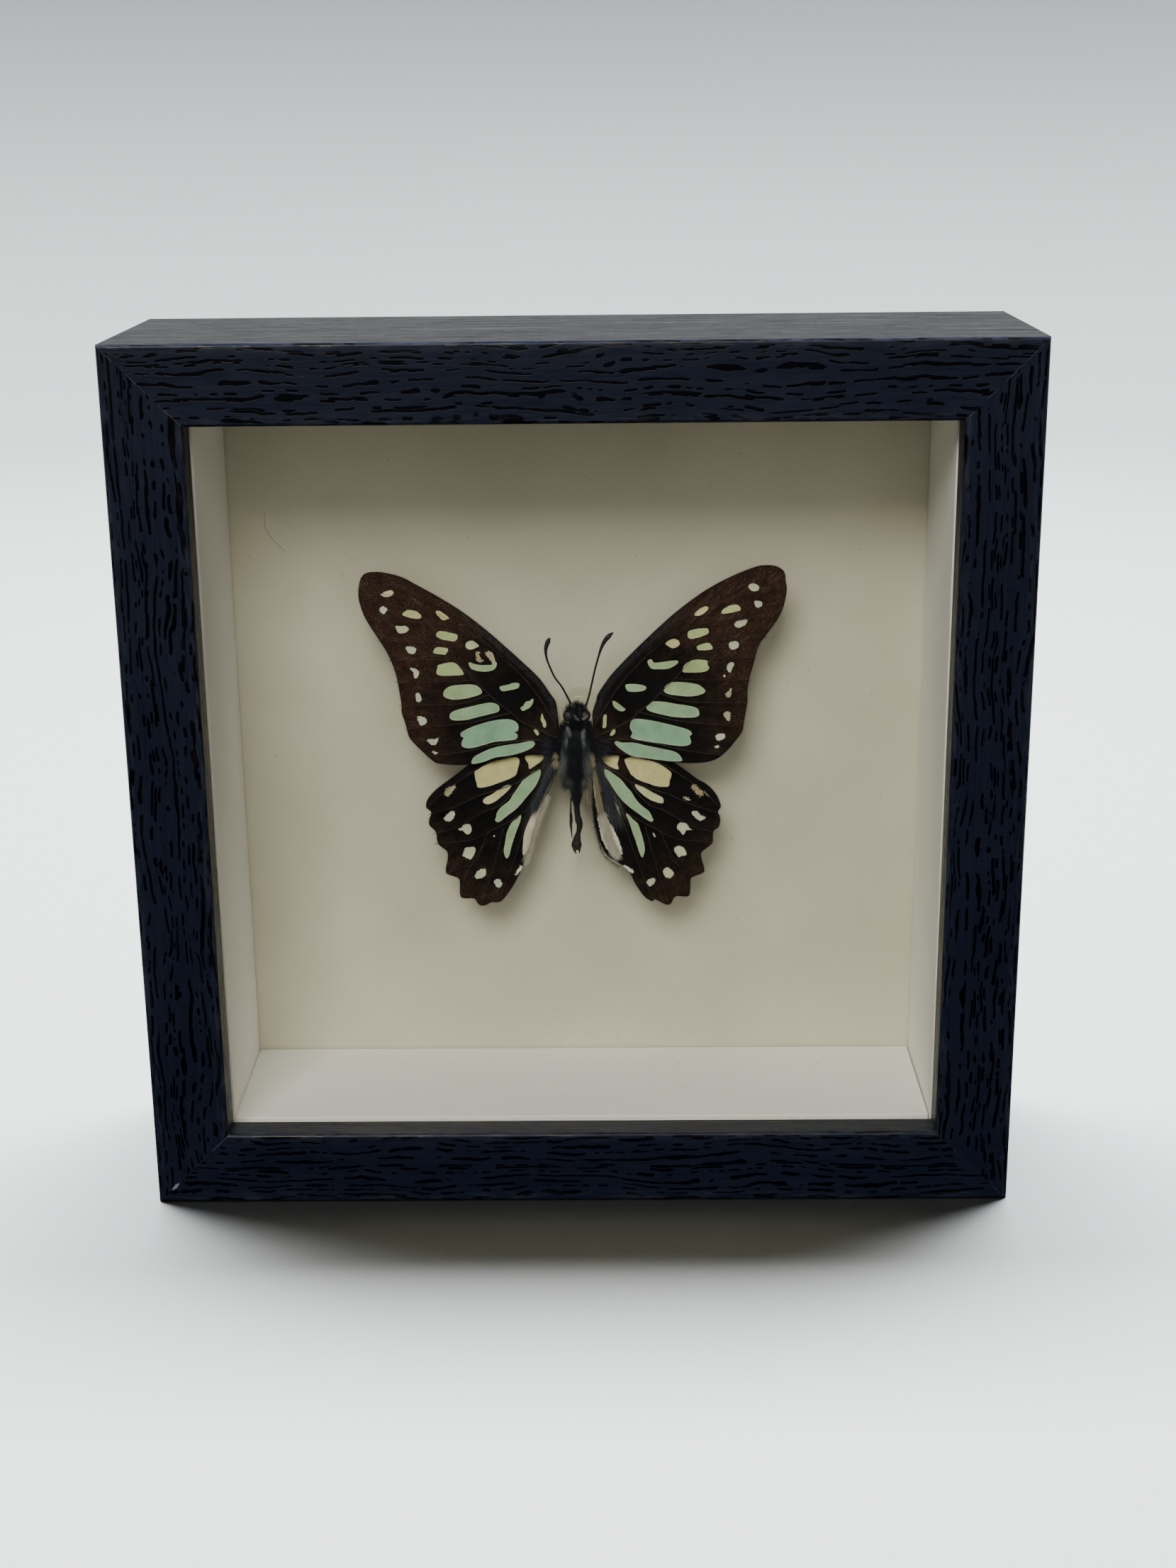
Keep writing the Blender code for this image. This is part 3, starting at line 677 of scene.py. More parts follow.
def rounded_plate(low, high, radius, thin_axis=2):
    """A slab with rounded edges, from its low and high (across, up, depth) corners.

    Its rings are the slab's outline, a rectangle with quarter-circle corners; towards each end they
    draw in by radius(1 - sin a) while the height changes by radius(1 - cos a), and one more ring a
    little further in keeps the broad faces flat.
    """
    low, high = np.array(low, float), np.array(high, float)
    centre, half = (low + high) / 2, (high - low) / 2
    order = [k for k in range(3) if k != thin_axis] + [thin_axis]
    a = np.linspace(0, math.pi / 2, 5)
    quarter = np.stack((np.cos(a), np.sin(a)), -1)
    turns = [np.array(((math.cos(t), -math.sin(t)), (math.sin(t), math.cos(t))))
             for t in (0, math.pi / 2, math.pi, 3 * math.pi / 2)]
    outline = np.vstack([quarter @ turn.T for turn in turns])
    corner = np.vstack([np.sign(np.array((1, 1)) @ turn.T) for turn in turns]).repeat(5, 0)
    rings = []
    rise = np.sin(a)
    for side in (-1, 1):
        steps = range(5) if side < 0 else range(4, -1, -1)
        for k in steps:
            reach = radius * (rise[k] if k < 4 else 1.0)
            flat = corner * (half[order[:2]] - radius) + outline * reach
            height = side * (half[order[2]] - radius + radius * math.cos(a[k]))
            ring = np.empty((len(flat), 3))
            ring[:, order[0]], ring[:, order[1]], ring[:, order[2]] = flat[:, 0], flat[:, 1], height
            rings.append(ring + centre)
    for end in (0, -1):
        inner = rings[end].copy()
        inner[:, order[:2]] -= corner * FLAT_RING_INSET
        rings.insert(0 if end == 0 else len(rings), inner)
    return tube(np.array(rings))


def node_corners(node):
    """Low and high corners of a frame node, as (across, up, depth) in millimetres."""
    low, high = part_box(node)
    return [(p.x / MM, p.z / MM - HALF, p.y / MM + FRAME_DEPTH / 2) for p in (low, high)]


def build_inside():
    """Spacer strips, mount board and backing board with softened cut edges, and the glass."""
    for side in ("left", "right", "top", "bottom"):
        low, high = node_corners(f"spacer_{side}")
        thin_axis = 0 if side in ("left", "right") else 1
        if thin_axis:
            low = (RAIL_FACE - HALF + STRIP_FIT[0], *low[1:])
            high = (HALF - RAIL_FACE - STRIP_FIT[1], *high[1:])
        part = rounded_plate(low, high, CARD_EDGE_ROUND, thin_axis)
        make_piece(f"card_strip_{side}", part, (SPACER_CARD,), (f"spacer_{side}",))
    boards = (("mount_board", "mount_card", MOUNT_CARD), ("backing_board", "backing", HARDBOARD))
    for node, piece, finish in boards:
        part = rounded_plate(*node_corners(node), BOARD_EDGE_ROUND)
        make_piece(piece, part, (finish,), (node,))
    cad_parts["glass"].data.materials.clear()
    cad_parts["glass"].data.materials.append(GLASS)
    for name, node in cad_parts.items():
        if name.startswith("tab_") or name == "hanger":
            node.data.materials.clear()
            node.data.materials.append(STEEL)


# ---------------------------------------------------------------- wings
# Outlines, windows and veins are (across, up) as read; drawn_in() and settled() correct them.
# A window is (tone, raggedness in mm, outline).
# Tones: 0 mint, 0.2 yellow-green, 0.4 cream, 0.6 pale green-white, 0.8 tan, 1 white wool.

FOREWING_LEFT = (
    (-3.6, 4.4), (-3.8, 6.8), (-4.1, 8.8), (-5.0, 10.3), (-7.0, 13.3), (-10.0, 16.4), (-13.0, 19.3),
    (-16.0, 22.1), (-20.0, 25.4), (-24.0, 28.1), (-28.0, 30.4), (-31.0, 31.9), (-34.0, 32.7), (-36.3, 32.9),
    (-37.8, 32.6), (-38.6, 31.7), (-39.0, 30.1), (-39.1, 28.4), (-38.8, 26.8), (-38.2, 25.0), (-37.0, 22.7),
    (-35.5, 20.4), (-34.1, 18.0), (-33.3, 15.9), (-32.6, 13.6), (-32.3, 11.4), (-32.0, 8.9), (-31.9, 7.2),
    (-31.4, 5.5), (-31.0, 3.7), (-30.6, 2.6), (-29.7, 1.4), (-28.5, 0.2), (-27.2, -1.0), (-26.0, -2.0),
    (-25.0, -2.4), (-22.0, -2.7), (-19.3, -2.7), (-17.0, -2.4), (-14.0, -1.8), (-10.0, -0.9), (-7.0, -1.0),
    (-4.4, -0.5), (-3.6, 0.8),
)
FOREWING_RIGHT = (
    (2.5, 3.8), (2.4, 6.6), (3.1, 9.0), (3.4, 10.2), (4.7, 12.3), (6.3, 14.4), (9.9, 18.2), (13.6, 21.9),
    (17.4, 25.4), (22.4, 29.1), (27.2, 31.7), (31.3, 33.3), (33.3, 33.6), (34.8, 33.5), (35.9, 33.0),
    (36.6, 32.2), (36.9, 30.8), (37.1, 29.4), (36.9, 27.7), (36.4, 25.9), (35.5, 23.9), (34.1, 21.8),
    (32.4, 19.5), (31.7, 17.6), (31.0, 15.1), (30.5, 13.2), (30.2, 11.0), (30.2, 9.0), (29.9, 6.8),
    (29.5, 4.8), (29.2, 3.2), (28.1, 1.6), (26.9, 0.2), (25.8, -0.9), (24.5, -1.8), (22.7, -2.4),
    (20.2, -2.6), (17.4, -2.5), (14.7, -2.1), (11.0, -1.7), (7.5, -1.2), (4.5, -1.1), (2.6, 0.4),
)
HINDWING_LEFT = (
    (-4.3, 0.2), (-9.0, 0.4), (-15.0, -0.6), (-19.3, -2.6), (-22.4, -4.9), (-25.5, -7.2), (-27.0, -8.7),
    (-27.7, -9.9), (-27.7, -11.0), (-26.9, -11.9), (-27.3, -13.2), (-27.3, -14.4), (-26.2, -15.7),
    (-26.0, -17.4), (-25.5, -18.4), (-24.3, -19.5), (-24.2, -21.0), (-24.6, -22.9), (-24.2, -23.9),
    (-22.5, -24.6), (-22.1, -25.4), (-22.1, -27.9), (-21.5, -28.6), (-19.6, -28.7), (-18.8, -29.8),
    (-18.0, -30.1), (-17.2, -29.9), (-16.4, -29.5), (-15.2, -29.5), (-14.3, -29.0), (-12.6, -26.7),
    (-11.2, -24.0), (-10.1, -21.3), (-9.3, -19.0), (-8.5, -16.8), (-7.4, -13.0), (-6.2, -9.4), (-5.0, -6.6),
    (-4.1, -4.0), (-4.0, -1.8),
)
HINDWING_RIGHT = (
    (2.9, -0.1), (7.0, 0.2), (12.0, -0.6), (16.5, -2.5), (21.0, -5.8), (22.4, -6.6), (23.6, -7.6),
    (24.6, -8.9), (25.2, -10.2), (25.4, -11.2), (24.9, -12.2), (25.3, -13.3), (25.1, -15.0), (24.1, -15.9),
    (24.0, -17.8), (23.5, -18.6), (22.0, -19.9), (22.0, -21.2), (22.5, -23.1), (22.2, -23.9), (20.3, -24.8),
    (20.0, -25.6), (19.9, -27.9), (19.4, -28.6), (17.3, -28.6), (16.5, -29.9), (15.8, -30.2), (14.9, -29.9),
    (13.5, -29.1), (13.0, -29.5), (11.6, -28.6), (10.0, -26.2), (9.1, -24.3), (7.4, -22.4), (5.0, -20.8),
    (3.7, -18.5), (2.9, -15.5), (2.4, -12.0), (2.2, -8.5), (2.3, -5.0), (2.6, -2.0),
)
WINDOWS_FOREWING_LEFT = (
    (0.5, 0.15, ((-34.4, 28.8), (-33.9, 29.2), (-32.9, 29.6), (-32.3, 29.5), (-32.2, 29.0), (-32.8, 28.5),
        (-33.7, 28.4))),
    (0.6, 0.15, ((-34.8, 26.0), (-34.5, 26.6), (-33.9, 26.7), (-33.4, 26.2), (-33.5, 25.8), (-33.9, 25.4),
        (-34.4, 25.6))),
    (0.3, 0.06, ((-30.8, 25.3), (-30.2, 25.8), (-29.5, 26.0), (-28.3, 25.7), (-27.5, 25.0), (-27.6, 24.5),
        (-28.3, 24.4), (-29.5, 24.6), (-30.5, 25.0))),
    (0.35, 0.06, ((-24.9, 25.5), (-24.6, 25.8), (-24.1, 25.7), (-23.4, 25.2), (-22.6, 24.5), (-23.1, 24.2),
        (-23.7, 24.1), (-24.2, 24.5))),
    (0.55, 0.15, ((-32.0, 23.1), (-31.2, 23.1), (-30.2, 23.1), (-29.7, 22.5), (-30.1, 22.1), (-30.8, 21.8),
        (-31.6, 22.0), (-31.8, 22.4))),
    (0.22, 0.06, ((-25.0, 21.3), (-24.7, 21.9), (-24.1, 22.1), (-22.6, 21.8), (-21.3, 21.4), (-21.3, 20.7),
        (-21.8, 20.2), (-23.0, 20.4), (-24.2, 20.7))),
    (0.5, 0.08, ((-19.8, 19.2), (-19.7, 19.9), (-18.8, 20.3), (-18.0, 19.9), (-17.5, 19.3), (-18.0, 19.0),
        (-18.7, 18.7), (-19.5, 18.8))),
    (0.22, 0.08, ((-25.6, 18.3), (-25.1, 19.1), (-24.2, 19.2), (-23.0, 18.9), (-23.0, 18.5), (-23.4, 17.9),
        (-24.3, 17.9), (-25.2, 18.1))),
    (0.6, 0.18, ((-30.3, 19.3), (-29.4, 19.4), (-28.7, 19.2), (-28.6, 18.7), (-28.9, 18.1), (-29.7, 18.1),
        (-30.1, 18.5))),
    (0.12, 0.06, ((-19.4, 16.2), (-19.1, 16.3), (-18.3, 16.0), (-17.2, 15.8), (-16.0, 15.8), (-15.4, 15.8),
        (-15.0, 16.3), (-14.9, 16.7), (-14.6, 16.4), (-14.4, 16.0), (-14.7, 15.2), (-15.3, 14.8),
        (-16.5, 14.6), (-18.0, 14.8), (-19.0, 15.2))),
    (0.86, 0.3, ((-16.3, 18.1), (-15.5, 18.3), (-14.9, 17.5), (-14.8, 16.4), (-15.3, 16.3), (-15.7, 17.0),
        (-16.2, 17.5))),
    (0.84, 0.4, ((-18.0, 18.3), (-17.5, 18.2), (-17.4, 17.2), (-16.9, 16.7), (-17.2, 16.3), (-17.9, 16.7),
        (-18.1, 17.8))),
    (0.2, 0.06, ((-24.8, 15.9), (-23.8, 16.2), (-22.4, 16.4), (-21.5, 16.1), (-20.9, 15.4), (-20.4, 14.6),
        (-20.5, 14.1), (-22.4, 14.0), (-24.7, 14.1), (-25.1, 14.7), (-24.9, 15.4))),
    (0.6, 0.18, ((-29.7, 15.4), (-29.0, 15.5), (-28.4, 15.1), (-28.2, 14.5), (-28.6, 13.7), (-29.1, 13.8),
        (-29.2, 14.7))),
    (0.12, 0.05, ((-24.0, 10.5), (-23.7, 11.4), (-22.6, 12.1), (-20.7, 12.3), (-19.0, 12.3), (-17.9, 12.0),
        (-17.2, 11.2), (-17.3, 10.6), (-18.6, 10.1), (-20.5, 9.7), (-22.4, 9.6), (-23.7, 10.0))),
    (0.6, 0.18, ((-28.9, 10.7), (-28.3, 10.8), (-28.0, 10.2), (-27.9, 9.7), (-28.4, 9.1), (-28.8, 9.5))),
    (0.08, 0.06, ((-14.0, 11.6), (-13.7, 11.9), (-12.6, 12.1), (-11.7, 12.4), (-10.7, 12.4), (-10.5, 11.9),
        (-11.0, 11.4), (-12.4, 11.1), (-13.6, 11.0))),
    (0.05, 0.05, ((-23.0, 6.6), (-22.6, 7.2), (-21.5, 7.7), (-19.4, 8.2), (-17.2, 8.7), (-15.5, 8.9),
        (-14.4, 8.5), (-14.1, 7.8), (-14.4, 7.2), (-15.9, 6.8), (-18.0, 6.3), (-19.9, 5.8), (-21.8, 5.7),
        (-22.8, 5.9))),
    (0.12, 0.06, ((-10.4, 7.8), (-9.9, 8.2), (-9.4, 8.9), (-8.7, 9.1), (-8.2, 9.5), (-8.1, 8.9),
        (-8.6, 8.0), (-9.4, 7.5), (-10.0, 7.3))),
    (0.6, 0.18, ((-28.8, 6.4), (-28.2, 6.5), (-27.4, 6.2), (-27.1, 5.5), (-27.5, 5.0), (-28.2, 4.8),
        (-28.5, 5.3))),
    (0.0, 0.05, ((-21.1, 3.2), (-20.9, 3.5), (-19.4, 4.3), (-17.2, 5.1), (-15.1, 5.6), (-13.2, 5.8),
        (-11.8, 5.6), (-11.0, 5.0), (-10.8, 4.1), (-11.1, 3.5), (-11.7, 3.4), (-11.0, 2.9), (-11.3, 2.1),
        (-12.9, 1.8), (-15.1, 1.6), (-17.2, 1.0), (-19.1, 0.5), (-20.3, 0.5), (-21.0, 0.9), (-20.9, 1.8),
        (-20.6, 2.4), (-21.1, 2.7))),
    (0.02, 0.05, ((-19.3, -2.5), (-19.0, -1.4), (-17.8, -0.6), (-15.6, 0.4), (-12.9, 1.0), (-10.7, 1.3),
        (-9.4, 1.6), (-8.4, 1.7), (-8.0, 1.4), (-8.0, 0.9), (-8.8, 0.2), (-10.5, -0.5), (-12.4, -1.0),
        (-15.1, -1.4), (-16.7, -2.0), (-18.0, -2.4))),
    (0.6, 0.2, ((-27.2, 2.0), (-26.4, 2.3), (-25.6, 2.2), (-25.1, 2.5), (-25.3, 1.8), (-25.6, 1.2),
        (-26.4, 1.1), (-26.8, 1.6))),
    (0.9, 0.5, ((-26.3, -0.3), (-25.9, 0.0), (-25.4, -0.2), (-25.8, -0.6))),
    (0.2, 0.06, ((-6.7, 6.4), (-6.5, 6.7), (-6.3, 5.9), (-5.9, 5.1), (-5.9, 4.3), (-6.3, 4.1), (-6.5, 4.8),
        (-6.8, 5.6))),
    (0.25, 0.08, ((-8.1, 3.7), (-7.6, 3.8), (-7.2, 3.2), (-7.3, 2.7), (-7.6, 2.8))),
)
WINDOWS_FOREWING_RIGHT = (
    (0.5, 0.15, ((30.1, 29.8), (30.6, 30.3), (31.2, 30.4), (31.9, 30.0), (32.2, 29.5), (31.6, 29.0),
        (30.9, 29.0), (30.4, 29.4))),
    (0.6, 0.15, ((31.3, 27.1), (31.9, 27.2), (32.6, 27.0), (32.8, 26.4), (32.2, 26.0), (31.6, 26.1))),
    (0.3, 0.06, ((25.3, 25.3), (25.9, 25.9), (27.0, 26.4), (28.0, 26.5), (28.6, 26.1), (28.8, 25.5),
        (28.0, 25.3), (26.6, 25.0), (25.5, 24.9))),
    (0.35, 0.06, ((20.4, 24.8), (21.2, 25.7), (22.2, 26.2), (22.7, 26.2), (22.9, 25.8), (22.2, 25.1),
        (21.3, 24.6), (20.7, 24.6))),
    (0.55, 0.15, ((27.7, 23.0), (28.1, 23.5), (29.1, 23.7), (30.0, 23.8), (29.8, 23.2), (29.4, 22.7),
        (28.4, 22.4), (27.8, 22.6))),
    (0.22, 0.06, ((19.3, 21.4), (19.5, 21.8), (20.8, 22.2), (22.3, 22.3), (22.8, 22.2), (22.9, 21.4),
        (21.9, 20.9), (20.6, 20.5), (19.8, 20.4), (19.3, 20.8))),
    (0.4, 0.08, ((15.4, 19.6), (16.2, 20.2), (16.8, 20.4), (17.6, 20.1), (17.9, 19.4), (17.4, 18.9),
        (16.7, 18.7), (15.8, 19.1))),
    (0.22, 0.08, ((20.9, 18.9), (21.3, 19.3), (22.2, 19.6), (23.1, 19.6), (23.7, 18.7), (23.1, 18.4),
        (21.9, 18.3), (21.1, 18.4))),
    (0.6, 0.18, ((26.6, 19.3), (27.0, 19.8), (27.9, 20.0), (28.4, 19.6), (28.3, 18.8), (27.6, 18.4),
        (26.9, 18.6))),
    (0.12, 0.06, ((12.2, 16.1), (12.4, 16.5), (12.9, 16.6), (13.4, 16.0), (14.7, 16.1), (16.1, 16.3),
        (17.4, 16.4), (17.6, 16.0), (16.9, 15.4), (15.8, 14.9), (14.3, 14.8), (13.0, 14.9), (12.5, 15.4))),
    (0.2, 0.06, ((18.4, 14.7), (18.7, 15.5), (19.5, 16.2), (20.5, 16.6), (21.6, 16.6), (22.7, 16.4),
        (22.8, 15.7), (23.1, 15.0), (22.4, 14.4), (20.8, 14.2), (19.1, 14.2), (18.5, 14.3))),
    (0.6, 0.18, ((26.3, 15.1), (26.5, 15.8), (27.2, 16.1), (27.7, 15.8), (27.3, 15.0), (27.1, 14.3),
        (26.6, 14.4))),
    (0.6, 0.15, ((25.7, 13.6), (25.9, 13.9), (26.15, 13.7), (25.9, 13.4))),
    (0.12, 0.05, ((15.1, 10.9), (15.5, 11.8), (16.5, 12.4), (18.6, 12.4), (20.2, 12.2), (21.3, 11.9),
        (22.2, 11.2), (22.4, 10.7), (21.8, 10.2), (19.9, 9.8), (17.4, 10.0), (15.8, 10.3))),
    (0.7, 0.3, ((26.1, 10.3), (26.8, 10.9), (27.3, 11.4), (27.2, 10.4), (26.9, 9.7), (26.3, 9.8))),
    (0.08, 0.06, ((8.3, 11.8), (8.7, 12.1), (10.2, 12.1), (11.6, 11.8), (12.0, 11.4), (11.5, 10.9),
        (9.9, 10.7), (8.7, 10.9))),
    (0.05, 0.05, ((12.0, 7.8), (12.4, 8.4), (13.1, 8.9), (15.2, 8.8), (17.4, 8.4), (19.9, 8.0), (21.1, 7.5),
        (21.4, 6.6), (21.1, 6.1), (19.9, 5.9), (17.4, 6.0), (15.2, 6.4), (13.3, 6.9), (12.3, 7.3))),
    (0.12, 0.06, ((6.0, 8.9), (6.3, 9.0), (7.2, 8.4), (7.9, 7.8), (8.3, 7.5), (7.9, 7.1), (7.2, 7.2),
        (6.3, 7.9))),
    (0.7, 0.3, ((25.8, 6.4), (26.2, 7.0), (26.9, 6.8), (27.1, 6.1), (26.8, 5.3), (26.2, 5.7))),
    (0.0, 0.05, ((9.1, 4.6), (9.4, 5.4), (10.2, 5.7), (12.2, 5.5), (14.7, 5.0), (17.4, 4.3), (19.1, 3.8),
        (19.9, 3.3), (20.1, 2.8), (19.7, 2.5), (19.9, 1.8), (19.9, 1.1), (19.1, 0.7), (17.4, 0.7),
        (14.7, 1.1), (11.9, 1.5), (9.9, 1.9), (9.2, 2.3), (9.5, 3.0), (9.1, 3.9))),
    (0.02, 0.05, ((6.3, 1.2), (6.8, 1.5), (7.6, 1.2), (9.7, 1.2), (11.9, 0.7), (14.7, 0.1), (16.9, -0.4),
        (17.9, -1.1), (18.4, -2.1), (17.4, -2.3), (15.2, -2.2), (12.4, -1.8), (9.7, -1.4), (8.3, -0.7),
        (6.9, 0.4))),
    (0.6, 0.2, ((24.3, 2.3), (24.7, 2.8), (25.8, 2.9), (26.1, 2.3), (25.6, 1.8), (24.9, 1.6))),
    (0.6, 0.2, ((24.25, 0.5), (24.6, 0.8), (24.95, 0.5), (24.6, 0.2))),
    (0.2, 0.06, ((4.3, 5.8), (4.5, 6.4), (4.9, 6.4), (4.9, 5.4), (4.8, 4.1), (4.2, 4.0), (4.3, 5.0))),
    (0.25, 0.08, ((5.5, 2.6), (5.9, 3.5), (6.4, 3.7), (6.4, 3.0), (5.9, 2.5))),
)
WINDOWS_HINDWING_LEFT = (
    (0.4, 0.12, ((-18.9, -4.5), (-18.3, -3.9), (-17.0, -3.0), (-15.2, -2.2), (-13.5, -1.7), (-11.7, -1.6),
        (-11.0, -1.8), (-10.8, -2.5), (-11.0, -3.4), (-11.2, -4.2), (-11.5, -5.0), (-12.6, -5.7),
        (-14.4, -6.4), (-16.1, -7.0), (-17.8, -7.3), (-18.4, -7.2), (-18.6, -6.4))),
    (0.4, 0.15, ((-9.7, -1.4), (-8.5, -1.2), (-7.2, -1.1), (-6.5, -1.4), (-6.4, -1.8), (-7.0, -2.5),
        (-7.8, -3.1), (-8.6, -3.7), (-9.1, -3.8), (-9.2, -2.9), (-9.6, -2.2))),
    (0.45, 0.06, ((-17.5, -10.0), (-17.2, -9.3), (-15.9, -8.6), (-14.6, -7.7), (-13.3, -7.0), (-12.5, -6.9),
        (-12.4, -7.2), (-13.0, -8.0), (-14.1, -9.0), (-15.2, -9.9), (-16.3, -10.4), (-17.0, -10.4))),
    (0.07, 0.05, ((-15.4, -13.5), (-15.2, -12.9), (-15.0, -12.0), (-14.1, -10.9), (-12.8, -9.9),
        (-12.0, -8.6), (-11.1, -7.3), (-10.0, -5.7), (-8.9, -4.8), (-8.0, -4.2), (-7.2, -4.0), (-7.0, -4.5),
        (-7.3, -5.7), (-8.0, -7.2), (-9.1, -8.6), (-10.4, -10.2), (-11.7, -11.6), (-13.3, -12.8),
        (-14.4, -13.7), (-15.0, -13.9))),
    (0.1, 0.06, ((-13.9, -20.0), (-13.9, -19.0), (-13.6, -17.5), (-13.4, -16.2), (-12.8, -14.7),
        (-12.2, -13.8), (-11.3, -13.2), (-10.9, -12.6), (-10.7, -12.9), (-11.0, -14.2), (-11.6, -15.7),
        (-12.2, -17.5), (-12.7, -19.2), (-13.0, -20.4), (-13.5, -21.0))),
    (0.7, 0.5, ((-24.5, -8.0), (-23.9, -7.4), (-23.0, -6.9), (-22.4, -7.0), (-22.8, -7.8), (-23.5, -8.6),
        (-24.1, -8.8))),
    (0.6, 0.25, ((-24.7, -13.0), (-24.2, -12.5), (-23.5, -11.8), (-22.9, -11.7), (-22.7, -12.0),
        (-22.8, -12.8), (-23.5, -13.6), (-24.3, -13.6))),
    (0.55, 0.2, ((-22.2, -15.2), (-21.5, -14.9), (-21.1, -14.3), (-20.4, -14.2), (-19.9, -14.4),
        (-19.7, -15.3), (-20.1, -16.1), (-20.8, -16.1), (-21.2, -15.6))),
    (0.55, 0.2, ((-21.4, -20.4), (-21.3, -19.7), (-20.9, -18.9), (-20.1, -18.7), (-19.4, -18.7),
        (-19.1, -19.3), (-19.4, -20.1), (-19.8, -20.9), (-20.4, -21.0))),
    (0.55, 0.2, ((-19.2, -24.8), (-19.2, -24.0), (-18.8, -23.4), (-18.0, -23.0), (-17.4, -23.0),
        (-17.3, -23.6), (-17.5, -24.3), (-18.3, -24.8))),
    (0.6, 0.25, ((-15.9, -25.4), (-15.5, -25.1), (-14.9, -25.0), (-14.4, -25.9), (-14.7, -26.4),
        (-15.0, -26.8), (-15.7, -26.1))),
    (0.6, 0.1, ((-15.8, -16.6), (-15.65, -16.4), (-15.5, -16.6), (-15.65, -16.8))),
    (1.0, 0.4, ((-12.1, -24.2), (-11.7, -23.6), (-11.1, -22.5), (-10.7, -22.6), (-10.5, -22.9),
        (-11.1, -23.6), (-11.9, -24.3))),
    (0.94, 0.12, ((-4.5, -5.4), (-6.0, -7.9), (-8.0, -11.2), (-9.2, -13.5), (-10.2, -16.2), (-10.5, -19.0),
        (-10.4, -20.4), (-9.6, -19.3), (-8.6, -16.0), (-7.6, -12.7), (-6.3, -9.2), (-5.1, -6.4))),
)
WINDOWS_HINDWING_RIGHT = (
    (0.4, 0.15, ((8.1, -2.3), (8.9, -1.9), (10.0, -1.7), (11.5, -2.2), (13.2, -2.6), (14.5, -3.2),
        (15.6, -3.9), (16.4, -4.7), (16.5, -5.3), (16.2, -6.2), (16.0, -7.3), (15.2, -7.4), (13.9, -7.3),
        (12.1, -6.7), (10.4, -6.0), (9.3, -5.1), (8.8, -4.2), (8.3, -3.1))),
    (0.4, 0.15, ((4.0, -1.9), (4.5, -1.4), (5.6, -1.4), (7.0, -1.5), (7.0, -2.3), (6.8, -3.1), (7.0, -3.9),
        (6.7, -4.1), (5.8, -3.7), (4.7, -3.0))),
    (0.45, 0.08, ((9.9, -7.0), (10.4, -7.0), (11.7, -7.6), (13.0, -8.4), (14.1, -9.0), (14.9, -9.5),
        (15.1, -10.1), (14.9, -10.5), (14.1, -10.4), (12.8, -9.9), (11.5, -9.0), (10.4, -7.9))),
    (0.07, 0.05, ((4.5, -4.1), (5.2, -4.3), (6.3, -5.1), (7.4, -6.0), (8.4, -7.3), (9.3, -8.4),
        (10.2, -9.9), (11.3, -11.1), (12.4, -12.0), (13.0, -13.1), (13.2, -13.8), (12.8, -14.0),
        (11.9, -13.5), (10.6, -12.5), (8.9, -11.2), (7.6, -9.9), (6.5, -8.4), (5.4, -6.6), (4.6, -5.3))),
    (0.1, 0.06, ((8.3, -12.6), (8.7, -12.6), (9.5, -13.5), (10.4, -14.4), (10.8, -15.5), (11.2, -16.8),
        (11.5, -18.1), (11.7, -19.4), (11.5, -20.4), (11.3, -21.0), (11.0, -20.7), (10.5, -19.4),
        (10.1, -17.9), (9.5, -16.2), (8.9, -14.2))),
    (0.75, 0.6, ((20.1, -7.4), (20.7, -7.0), (21.4, -7.6), (22.1, -8.4), (22.2, -8.8), (21.6, -9.1),
        (20.8, -8.4))),
    (0.7, 0.2, ((22.1, -8.0), (22.9, -8.6), (23.5, -9.3), (22.7, -8.8))),
    (0.9, 0.5, ((18.7, -9.4), (19.4, -9.5), (20.0, -9.9), (19.2, -9.9))),
    (0.6, 0.2, ((20.2, -12.4), (20.6, -12.0), (21.3, -12.2), (21.9, -12.9), (22.7, -13.2), (22.1, -13.8),
        (21.5, -13.8), (20.7, -13.1))),
    (0.55, 0.2, ((17.5, -15.1), (17.8, -14.4), (18.4, -14.2), (19.3, -14.4), (19.7, -15.2), (20.3, -15.6),
        (19.4, -15.6), (19.0, -16.0), (18.6, -16.6), (18.2, -16.0), (17.7, -15.6))),
    (0.55, 0.2, ((17.0, -19.4), (17.4, -18.8), (18.1, -18.7), (18.8, -19.1), (19.2, -20.0), (19.1, -20.5),
        (18.4, -20.6), (17.9, -20.9), (17.4, -20.2))),
    (0.55, 0.2, ((15.0, -23.9), (15.3, -23.1), (15.9, -23.0), (16.7, -23.5), (16.9, -24.2), (16.5, -24.9),
        (15.7, -24.9), (15.2, -24.4))),
    (0.6, 0.25, ((12.1, -26.1), (12.2, -25.4), (13.0, -25.0), (13.6, -25.2), (13.5, -25.9), (13.1, -26.3),
        (12.7, -26.6))),
    (0.6, 0.1, ((13.15, -16.2), (13.5, -16.4), (13.6, -17.0), (13.4, -17.0))),
    (1.0, 0.4, ((7.6, -22.6), (8.2, -22.7), (9.1, -23.1), (9.6, -23.6), (9.5, -24.1), (9.0, -23.8),
        (8.2, -23.2))),
    (1.0, 0.35, ((3.3, -12.9), (4.3, -12.5), (5.0, -13.8), (6.0, -15.5), (6.7, -17.0), (7.2, -18.6),
        (7.6, -20.1), (7.1, -20.7), (6.3, -20.6), (5.4, -20.1), (4.5, -18.8), (3.9, -17.3), (3.5, -15.1))),
    (0.9, 0.25, ((2.3, -4.0), (2.9, -5.5), (3.6, -9.0), (4.3, -12.3), (3.4, -12.8), (2.8, -10.0),
        (2.4, -6.5))),
    (0.66, 0.2, ((5.3, -8.8), (6.0, -9.7), (6.9, -11.2), (7.3, -12.9), (6.6, -11.5), (5.9, -10.2))),
)
